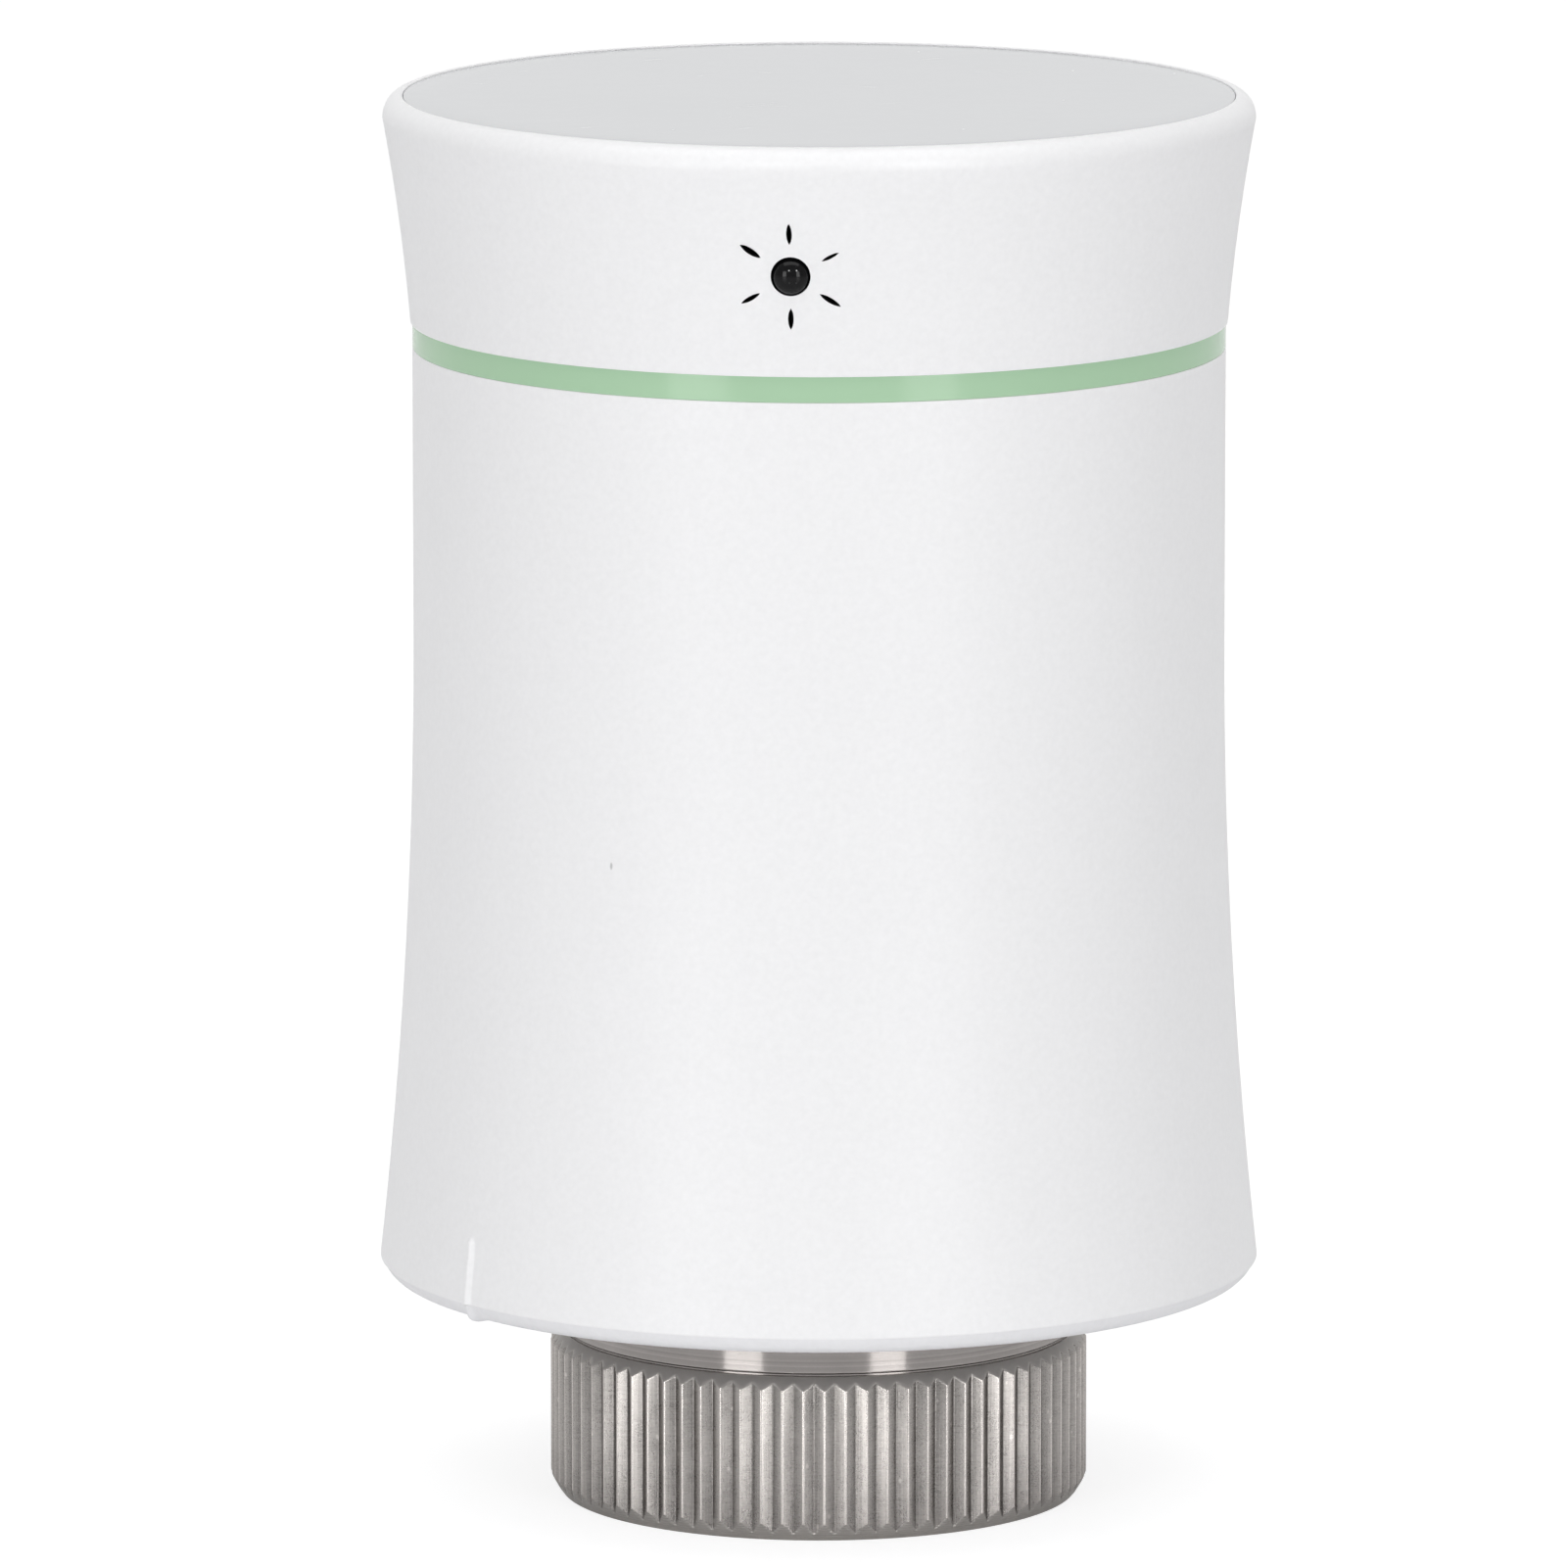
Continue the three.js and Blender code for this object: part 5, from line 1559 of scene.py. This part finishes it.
@dataclass
class Casing(Assembly):
    """Outer sleeve and the coloured trim ring above it."""

    rib: Rib
    visual_seam: float = 0.012
    frame_seam: float = 0.1
    inset: float = 0.1
    wall: float = 1.9
    flare_height: float = 39.78
    rib_rise: float = 4.2
    row_step: float = 0.3
    rib_end_zone: Point = (0.2, 0.5)  # below and above the centre of the rib's round end
    rib_end_rows: int = 9
    flare_rows: int = 36
    plain_zone: float = 6.0  # from the flare and from the top to the next row
    edge: float = 0.03
    rounding: float = 0.2
    root: float = 0.5  # how deep a ledge starts inside the wall
    plate_top: float = 16.0
    ledge_inner: float = 23.5
    ledge_thickness: float = 1.6
    ledge_gap: float = 0.3
    lug_height: float = 1.3
    lug_angle: float = 24
    ledge_angle: float = 22
    stop_angle: float = 3
    lugs: tuple[float, ...] = (90, 210, 330)

    def build(self) -> None:
        """Builds the sleeve and the trim ring."""
        self.fit(self._sleeve(), Body.MAIN, Slot.WHITE_SHELL, "outer_sleeve")
        self.fit(self._trim(), Body.MAIN, Slot.ACCENT, "accent_ring")

    def _sleeve(self) -> bpy.types.Object:
        """Straight tube whose foot flares out, with the rib outside and bayonet ledges inside.

        Returns:
            The finished sleeve.
        """
        extent = Extent.of("outer_sleeve")
        straight = Extent.of("accent_ring").radius
        reach = extent.radius - self.inset - straight
        flare_top = extent.bottom + self.flare_height
        spare = (self.frame_seam - self.visual_seam) / 2
        bottom = extent.bottom - spare
        top = extent.top + spare
        angles = self.rib.columns(Columns.SMOOTH, extent.radius)
        under, over = self.rib_end_zone
        rib_end = extent.bottom + self.rib_rise - self.rib.half_width

        def outer(height: float) -> float:
            """Outer radius at a height."""
            below = max(flare_top - max(height, extent.bottom), 0)
            return straight + reach * (below / self.flare_height) ** 2

        heights = np.concatenate([
            [bottom + self.edge, bottom + 3 * self.edge],
            np.arange(bottom + self.row_step, rib_end - under, self.row_step),
            np.linspace(rib_end, rib_end + over, self.rib_end_rows),
            np.linspace(rib_end + 1, flare_top, self.flare_rows),
            [flare_top + self.plain_zone, top - self.plain_zone],
            [top - 3 * self.edge, top - self.edge],
        ])
        form = Form()
        rings = [form.ring(angles, outer(bottom) - self.edge * 0.5, bottom)]
        for height in heights:
            radius = outer(height)
            proud = self.rib.height(angles, radius, height - rib_end)
            rings.append(form.ring(angles, radius + proud, height))
        for radius, height in (
            (straight - self.edge * 0.3, top - self.edge * 0.3), (straight - self.edge, top),
            (straight - self.wall, top), (straight - self.wall, flare_top),
            *((outer(z) - self.wall, z) for z in np.linspace(flare_top - 2, bottom, 14)),
        ):
            rings.append(form.ring(angles, radius, height))
        form.wrap(rings)
        self._ledges(form, outer)
        return form.build("sleeve_tube", [WHITE])

    def _ledges(self, form: Form, outer: Callable[[float], float]) -> None:
        """Adds the bayonet ledges and their stops.

        Args:
            form: The sleeve's form.
            outer: The sleeve's outer radius as a function of height.
        """
        low = self.plate_top + self.ledge_gap
        high = low + self.ledge_thickness
        stop_top = high + self.ledge_gap + self.lug_height
        root = outer(stop_top) - self.wall + self.root
        edge = self.lug_angle / 2 + self.stop_angle / 2
        for angle in self.lugs:
            start = angle - edge - self.stop_angle
            stop = angle + self.ledge_angle / 2
            form.sector(rounded([
                (self.ledge_inner, low, self.rounding), (root, low, 0), (root, high, 0),
                (self.ledge_inner, high, self.rounding),
            ]), (start + stop) / 2, stop - start)
            form.sector(rounded([
                (self.ledge_inner, low, self.rounding), (root, low, 0), (root, stop_top, 0),
                (self.ledge_inner, stop_top, self.rounding),
            ]), start + self.stop_angle / 2, self.stop_angle, steps=3)

    def _trim(self) -> bpy.types.Object:
        """Coloured ring with softened edges.

        Returns:
            The finished ring.
        """
        extent = Extent.of("accent_ring")
        spare = (self.frame_seam - self.visual_seam) / 2
        inner = extent.radius - self.wall
        form = Form()
        form.revolve(rounded([
            (inner, extent.bottom, 0), (extent.radius, extent.bottom - spare, self.edge),
            (extent.radius, extent.bottom + 2 * self.edge, 0),
            (extent.radius, extent.top - 2 * self.edge, 0),
            (extent.radius, extent.top + spare, self.edge), (inner, extent.top, 0),
        ]), full_turn(Columns.SMOOTH))
        return form.build("trim_ring", [GREEN])


@dataclass
class Head(Assembly):
    """Jog ring, its presence sensor, the carrier inside it and the centring spring."""

    wall: float = 1.9
    slope: float = 0.07
    flare_length: float = 260
    rim_width: float = 1.15
    rim_height: float = 1.4
    rim_land: float = 0.15
    shelf_depth: float = 2.2
    visual_seam: float = 0.012
    frame_seam: float = 0.1
    edge: float = 0.03
    first_row: float = 0.6  # above the ring's foot
    flare_rows: int = 22
    rim_rows: int = 13
    sensor_zone: Point = (9, 0.36)  # degrees to each side with closer columns, and their step
    rebate: Point = (24.9, 1.0)  # radius and height
    tab_angle: float = 10
    tab_height: float = 1.5
    tab_radii: Point = (20.75, 25.1)
    tab_rounding: float = 0.15
    magnet_room: float = 0.3
    magnet_floor: float = 0.1

    # Sensor hole and the slits round it: place to the right and up, length and width
    hole_play: float = 0.02
    cut_reach: Point = (5, 2)  # inwards and outwards from the rim's radius
    slit_columns: int = 9
    slit_fullness: float = 0.8
    slits: tuple[tuple[float, float, float, float], ...] = (
        (-0.07, 2.65, 1.33, 0.35), (2.43, 1.24, 1.2, 0.22), (2.41, -1.48, 1.52, 0.33),
        (0.0, -2.65, 1.33, 0.35), (-2.46, -1.4, 1.35, 0.29), (-2.46, 1.55, 1.51, 0.39),
    )
    dome_base: float = 0.45
    dome_proud: float = 0.5
    dome_rows: int = 13
    dome_crease: float = 60

    def build(self) -> None:
        """Builds the ring and the sensor's dome, and dresses what is behind them."""
        self.fit(self._ring(), Body.JOG, Slot.WHITE_SHELL, "jog_ring")
        self.fit(self._dome(), Body.JOG, Slot.SENSOR, "sensor_lens")
        self.dress(MAGNET, "jog_magnet")
        self.dress(CHASSIS, "head_frame")
        self.dress(SPRING, "jog_spring")

    def _sensor_pose(self) -> Matrix:
        """Finds where the sensor looks.

        Returns:
            The turn and shift that carry +Z to the sensor's outward axis.
        """
        extent = Extent.of("sensor_lens")
        azimuth = math.atan2(extent.centre[1], extent.centre[0])
        return (
            Matrix.Translation((0, 0, extent.centre[2]))
            @ Matrix.Rotation(azimuth, 4, "Z")
            @ Matrix.Rotation(math.pi / 2, 4, "Y")
        )

    @property
    def well_radius(self) -> float:
        """Radius of the well that the display sits in."""
        rim = self._outer(Extent.of("jog_ring").top - self.rim_height)
        return rim - self.rim_width - self.rim_land

    def _outer(self, height: float) -> float:
        """Outer radius of the ring at a height."""
        above = height - Extent.of("outer_sleeve").top
        return Extent.of("accent_ring").radius + self.slope * above + above**2 / self.flare_length

    def _ring(self) -> bpy.types.Object:
        """Flared ring with a rolled rim, a tab for the magnet, and the sensor's hole and slits.

        Returns:
            The finished ring.
        """
        extent = Extent.of("jog_ring")
        bottom = extent.bottom - (self.frame_seam - self.visual_seam) / 2
        rim_start = extent.top - self.rim_height
        rim = self._outer(rim_start)
        crest = rim - self.rim_width
        shelf = extent.top - self.shelf_depth
        straight = Extent.of("accent_ring").radius - self.wall
        rebate_radius, rebate_height = self.rebate
        outline = [(self._outer(bottom) - self.edge, bottom)]
        outline += [
            (self._outer(z), float(z))
            for z in np.concatenate([
                [bottom + self.edge, bottom + 3 * self.edge],
                np.linspace(bottom + self.first_row, rim_start, self.flare_rows),
            ])
        ]
        for turn in np.linspace(0, math.pi / 2, self.rim_rows)[1:]:
            outline.append((
                crest + self.rim_width * math.cos(turn),
                rim_start + self.rim_height * math.sin(turn),
            ))
        wall_top = max(self._outer(shelf) - self.wall, straight)
        outline += [
            (crest - self.rim_land * 0.6, extent.top - self.rim_land * 0.25),
            (crest - self.rim_land, extent.top - self.rim_land * 1.2),
            (crest - self.rim_land, shelf),
            (wall_top, shelf),
            (straight, extent.bottom + rebate_height),
            (rebate_radius, extent.bottom + rebate_height),
            (rebate_radius, bottom),
        ]
        sensor = math.degrees(math.atan2(*Extent.of("sensor_lens").centre[1::-1]))
        angles = full_turn(Columns.FINEST, sensor, *self.sensor_zone)
        form = Form()
        form.revolve(outline, angles)
        ring = form.build("dial_ring", [WHITE])
        carve(ring, self._cutters(rim))
        self._tab(ring)
        return ring

    def _tab(self, ring: bpy.types.Object) -> None:
        """Adds the inner tab that holds the magnet.

        Args:
            ring: The ring, whose mesh takes up the tab.
        """
        magnet = Extent.of("jog_magnet")
        spring = Extent.of("jog_spring")
        half = self.tab_height / 2
        rounding = self.tab_rounding
        inner, outer = self.tab_radii
        low = spring.centre[2] - half
        high = spring.centre[2] + half
        form = Form()
        form.sector(rounded([
            (inner, low, rounding), (outer, low, 0), (outer, high, 0), (inner, high, rounding),
        ]), 0, self.tab_angle)
        tab = form.build("tab", [WHITE])
        well = Form()
        circle = full_turn(Columns.HOLE)
        room = (magnet.high[0] - magnet.low[0]) / 2 + self.magnet_room
        well.prism(
            np.stack([
                magnet.centre[0] + room * np.cos(circle), room * np.sin(circle),
                np.full_like(circle, magnet.bottom - self.magnet_floor),
            ], 1),
            np.array([0, 0, 2 * self.tab_height]),
        )
        carve(tab, well.build("well", [WHITE]))
        work = bmesh.new()
        work.from_mesh(ring.data)
        work.from_mesh(tab.data)
        work.to_mesh(ring.data)
        work.free()
        bpy.data.objects.remove(tab)

    def _cutters(self, rim: float) -> bpy.types.Object:
        """Bars along the sensor's axis that cut its hole and the slits round it.

        Args:
            rim: Radius of the ring's rim.

        Returns:
            The bars as one object.
        """
        lens = Extent.of("sensor_lens")
        hole = (lens.top - lens.bottom) / 2 + self.hole_play
        inwards, outwards = self.cut_reach
        near, far = rim - inwards, rim + outwards
        form = Form()
        circle = full_turn(Columns.LENS)
        rows = [(hole * np.cos(circle), hole * np.sin(circle))]
        along = np.linspace(-0.5, 0.5, self.slit_columns)
        there_and_back = np.concatenate([along, along[-2:0:-1]])
        bulge = (1 - (2 * along) ** 2) ** self.slit_fullness / 2
        sides = np.concatenate([bulge, -bulge[-2:0:-1]])
        for right, up, length, width in self.slits:
            angle = math.atan2(right, -up)
            reach = math.hypot(right, up) + length * there_and_back
            side = width * sides
            rows.append((
                reach * math.cos(angle) - side * math.sin(angle),
                reach * math.sin(angle) + side * math.cos(angle),
            ))
        for x, y in rows:
            form.prism(np.stack([x, y, np.full_like(x, near)], 1), np.array([0, 0, far - near]))
        return form.build("cutters", [SHADOW], pose=self._sensor_pose())

    def _dome(self) -> bpy.types.Object:
        """Domed black lens, turned about the sensor's own axis.

        Returns:
            The finished lens.
        """
        lens = Extent.of("sensor_lens")
        radius = (lens.top - lens.bottom) / 2
        face = self._outer(lens.centre[2])
        back = face - self.wall
        base = face - self.dome_base
        outline = [(0.0, back), (radius, back)]
        for turn in np.linspace(0, math.pi / 2, self.dome_rows):
            outline.append((
                radius * math.cos(turn),
                base + (self.dome_base + self.dome_proud) * math.sin(turn),
            ))
        form = Form()
        form.revolve(outline, full_turn(Columns.LENS))
        pose = self._sensor_pose()
        return form.build("sensor_dome", [BLACK], crease=self.dome_crease, pose=pose)


@dataclass
class Display(Assembly):
    """Window of the display and the parts under it."""

    well_radius: float
    play: float = 0.01
    rise: float = 0.12
    edge: float = 0.04
    lower_edge: float = 0.1
    flat_margin: float = 2.0  # from the edge to the first inner row

    def build(self) -> None:
        """Builds the window and dresses the panel and its board."""
        extent = Extent.of("display_lens")
        radius = self.well_radius - self.play
        top = extent.top + self.rise
        form = Form()
        form.revolve(rounded([
            (0, extent.bottom, 0), (radius, extent.bottom, self.lower_edge),
            (radius, top, self.edge), (radius - self.flat_margin, top, 0),
            (0, top, 0),
        ]), full_turn(Columns.SMOOTH))
        self.fit(form.build("display_window", [WINDOW]), Body.MAIN, Slot.DISPLAY, "display_lens")
        self.dress(PANEL, "display_panel")
        self.dress(BOARD_FLAT, "display_board")


@dataclass
class Drive(Assembly):
    """Motor, gear train, gearbox and plunger."""

    foot_thickness: float = 1.6
    neck_radius: float = 3.0
    neck_top: float = 17.65
    screw_radius: float = 2.0
    screw_root: float = 1.6
    screw_pitch: float = 1.0
    screw_top: float = 26.5
    square: float = 2.6
    edge: float = 0.4
    rounding: float = 0.15
    neck_rounding: float = 0.2
    run_out: float = 0.4  # plain length between the neck and the thread

    def build(self) -> None:
        """Builds the plunger and dresses the frame's gears, motor and gearbox."""
        self.fit(self._plunger(), Body.PLUNGER, Slot.BRASS, "plunger")
        self.dress(GEAR, "spindle_gear", "gear_1", "gear_2")
        self.dress(BRASS, "motor_pinion")
        self.dress(STEEL, "motor", "motor_shaft", "axle_1", "axle_2", "thrust_washer")
        self.dress(STEEL, "gearbox_screw_1", "gearbox_screw_2", "gearbox_screw_3")
        self.dress(CHASSIS, "gearbox_base", "gearbox_cover")

    def _plunger(self) -> bpy.types.Object:
        """Pressure foot, neck, leadscrew and square guide.

        Returns:
            The finished plunger.
        """
        extent = Extent.of("plunger")
        foot = extent.radius
        foot_top = extent.bottom + self.foot_thickness
        screw_low = self.neck_top + self.run_out
        angles = full_turn(Columns.SLENDER)
        form = Form()
        lower = rounded([
            (0, extent.bottom, 0), (foot, extent.bottom, self.edge),
            (foot, foot_top, self.rounding),
            (self.neck_radius, foot_top + self.edge, self.neck_rounding),
            (self.neck_radius, self.neck_top, self.rounding),
            (self.screw_radius, self.neck_top, 0), (self.screw_radius, screw_low, 0),
        ])
        rings = [form.ring(angles, radius, height) for radius, height in lower]
        for ring, following in zip(rings, rings[1:]):
            form.bridge(ring, following)
        high = self.screw_top - self.edge
        form.thread(
            self.screw_radius, self.screw_root, screw_low, high, self.screw_pitch, angles
        )
        end = form.ring(angles, self.screw_radius, high)
        tip = form.ring(angles, self.square / 2, self.screw_top)
        centre = form.ring(angles, 0.0, self.screw_top)
        form.bridge(end, tip)
        form.bridge(tip, centre)
        half = self.square / 2
        corners = np.array([(half, half), (-half, half), (-half, -half), (half, -half)])
        outline = np.concatenate([corners, np.full((4, 1), high)], 1)
        form.prism(outline, np.array([0, 0, extent.top - high]))
        return form.build("plunger_turned", [BRASS])


@dataclass
class Power(Assembly):
    """Battery cells, their cradle and their contacts."""

    cell_radius: float = 7.25
    film_inset: float = 0.35  # from the cell's radius to where the film starts
    band: Point = (30, 42)  # from the plain end

    def build(self) -> None:
        """Dresses the cradle, the contacts and both cells."""
        self.dress(CRADLE, "battery_cradle")
        self.dress(SPRING, "cell_bridge", "contact_positive", "contact_negative")
        for node, upright in (("cell_left", True), ("cell_right", False)):
            extent = Extent.of(node)
            low, high = self.band
            ends = (
                (extent.bottom + low, extent.bottom + high)
                if upright else (extent.top - high, extent.top - low)
            )
            axis = (float(extent.centre[0]), float(extent.centre[1]))
            self.dress(CellWrap(
                Slot.JACKET, *CELL_COLOURS, axis, self.cell_radius - self.film_inset, *ends
            ), node)


@dataclass
class Electronics(Assembly):
    """Main board with its parts, and the sensor's board."""

    def build(self) -> None:
        """Dresses the boards and their components."""
        self.dress(BOARD_UPRIGHT, "main_board", "sensor_board")
        self.dress(STEEL, "radio_module")
        self.dress(CHIP, "motor_driver", "jog_sensor")


# ---------------------------------------------------------------------- Studio


@dataclass(frozen=True)
class Lamp:
    """Rectangular soft light that faces a point on the object."""

    name: str
    azimuth: float
    elevation: float
    distance: float
    width: float
    height: float
    radiance: float
    only_mirrored: bool = False
    aim: Triple = (0, 0, 0.045)

    def build(self) -> None:
        """Places the lamp; its size and distance are in metres."""
        turn, rise = math.radians(self.azimuth), math.radians(self.elevation)
        away = Vector((
            math.cos(turn) * math.cos(rise), math.sin(turn) * math.cos(rise), math.sin(rise)
        ))
        data = bpy.data.lights.new(self.name, "AREA")
        data.shape = "RECTANGLE"
        data.size = self.width
        data.size_y = self.height
        data.energy = self.radiance * self.width * self.height * math.pi
        lamp = bpy.data.objects.new(self.name, data)
        lamp.location = Vector(self.aim) + away * self.distance
        lamp.rotation_euler = away.to_track_quat("Z", "Y").to_euler()
        lamp.visible_camera = False
        lamp.visible_diffuse = not self.only_mirrored
        bpy.context.scene.collection.objects.link(lamp)


@dataclass
class Studio:
    """Pale floor, soft lamps, white surroundings and the camera; lengths are in metres."""

    camera_place: Triple = (-0.0022, -0.9778, 0.213)
    camera_tilt: float = 80.26
    camera_lens: float = 361.5
    camera_limit: float = 20
    ambient: float = 0.4
    mirrored_front: float = 0.4
    backdrop_edge: Point = (-0.3, 0.8)
    floor_reach: float = 6.0
    floor_colour: Colour = linear(244, 244, 245)
    floor_glow: float = 0.6
    floor_mirrored_glow: float = 0.1
    floor_polish: float = 0.06
    floor_white: float = 1.32
    lamps: tuple[Lamp, ...] = (
        Lamp("strip_left", FRONT - 34, 10.5, 0.8, width=0.24, height=0.34, radiance=4.65),
        Lamp("strip_right", FRONT + 31, 10.5, 0.8, width=0.22, height=0.34, radiance=4.65),
        Lamp("overhead", FRONT, 80, 1.2, width=1.6, height=0.9, radiance=1.8),
        Lamp("glint_left", FRONT - 13, 27, 1, 0.11, 0.11, radiance=34, only_mirrored=True),
        Lamp("glint_right", FRONT + 26, 27, 1, 0.11, 0.11, radiance=34, only_mirrored=True),
    )

    def build(self) -> None:
        """Sets up everything round the object."""
        for lamp in self.lamps:
            lamp.build()
        self._floor()
        self._world()
        self._camera()
        bpy.context.scene.view_settings.view_transform = "Standard"

    @staticmethod
    def _rays(graph: Graph) -> tuple[Shade, Shade]:
        """Tells apart the rays that see the studio.

        Args:
            graph: The graph that is being filled.

        Returns:
            1 for rays straight from the camera, and 1 for those by way of metal or glass.
        """
        kinds = ("Is Camera Ray", "Is Glossy Ray", "Is Transmission Ray")
        camera, glossy, through = (
            graph.node("ShaderNodeLightPath", output=kind) for kind in kinds
        )
        return camera, glossy.greatest(through)

    def _floor(self) -> None:
        """Large pale floor that glows just enough to read as white and keeps the shadow."""
        reach = self.floor_reach
        mesh = bpy.data.meshes.new("floor")
        mesh.from_pydata(
            [(-reach, -reach, 0), (reach, -reach, 0), (reach, reach, 0), (-reach, reach, 0)],
            [], [(0, 1, 2, 3)],
        )
        made = bpy.data.materials.new("floor")
        made.use_nodes = True
        graph = Graph(made.node_tree)
        diffuse = graph.node(
            "ShaderNodeBsdfDiffuse", None, {"Color": opaque(self.floor_colour)}
        )
        glow = graph.node(
            "ShaderNodeEmission", None, {"Color": opaque((1, 1, 1)), "Strength": self.floor_white}
        )
        polished = graph.node("ShaderNodeBsdfPrincipled", None, {
            "Base Color": opaque(self.floor_colour), "Roughness": self.floor_polish,
        })
        camera, mirrored = self._rays(graph)
        lit = graph.node("ShaderNodeMixShader", None, {0: mirrored, 1: diffuse, 2: polished})
        share = camera * self.floor_glow + mirrored * self.floor_mirrored_glow
        mixed = graph.node("ShaderNodeMixShader", None, {0: share, 1: lit, 2: glow})
        graph.node("ShaderNodeOutputMaterial", None, {"Surface": mixed})
        mesh.materials.append(made)
        floor = bpy.data.objects.new("floor", mesh)
        bpy.context.scene.collection.objects.link(floor)

    def _world(self) -> None:
        """White backdrop where it is seen, and softer, even surroundings where they light."""
        world = bpy.data.worlds.new("studio")
        world.use_nodes = True
        graph = Graph(world.node_tree)
        camera, mirrored = self._rays(graph)
        direction = graph.node("ShaderNodeTexCoord", output="Generated")
        behind = graph.axis(direction, 1).ramp(*self.backdrop_edge)
        reflected = self.mirrored_front + behind * (1 - self.mirrored_front)
        strength = (
            self.ambient + camera * (1 - self.ambient) + mirrored * (reflected - self.ambient)
        )
        shader = graph.node(
            "ShaderNodeBackground", None, {"Color": opaque((1, 1, 1)), "Strength": strength}
        )
        graph.node("ShaderNodeOutputWorld", None, {"Surface": shader})
        bpy.context.scene.world = world

    def _camera(self) -> None:
        """Camera a little above the object and straight in front of it."""
        data = bpy.data.cameras.new("camera")
        data.lens = self.camera_lens
        data.clip_end = self.camera_limit
        camera = bpy.data.objects.new("camera", data)
        camera.location = self.camera_place
        camera.rotation_euler = (math.radians(self.camera_tilt), 0, 0)
        bpy.context.scene.collection.objects.link(camera)
        bpy.context.scene.camera = camera


def main() -> None:
    """Builds every sub-assembly and the studio."""
    logging.basicConfig(level=logging.INFO, format="%(message)s")
    rib = Rib()
    head = Head()
    assemblies: tuple[Assembly, ...] = (
        ValveSide(rib), Casing(rib), head, Display(head.well_radius), Drive(), Power(),
        Electronics(),
    )
    for assembly in assemblies:
        assembly.build()
    Studio().build()


if __name__ == "__main__":
    main()
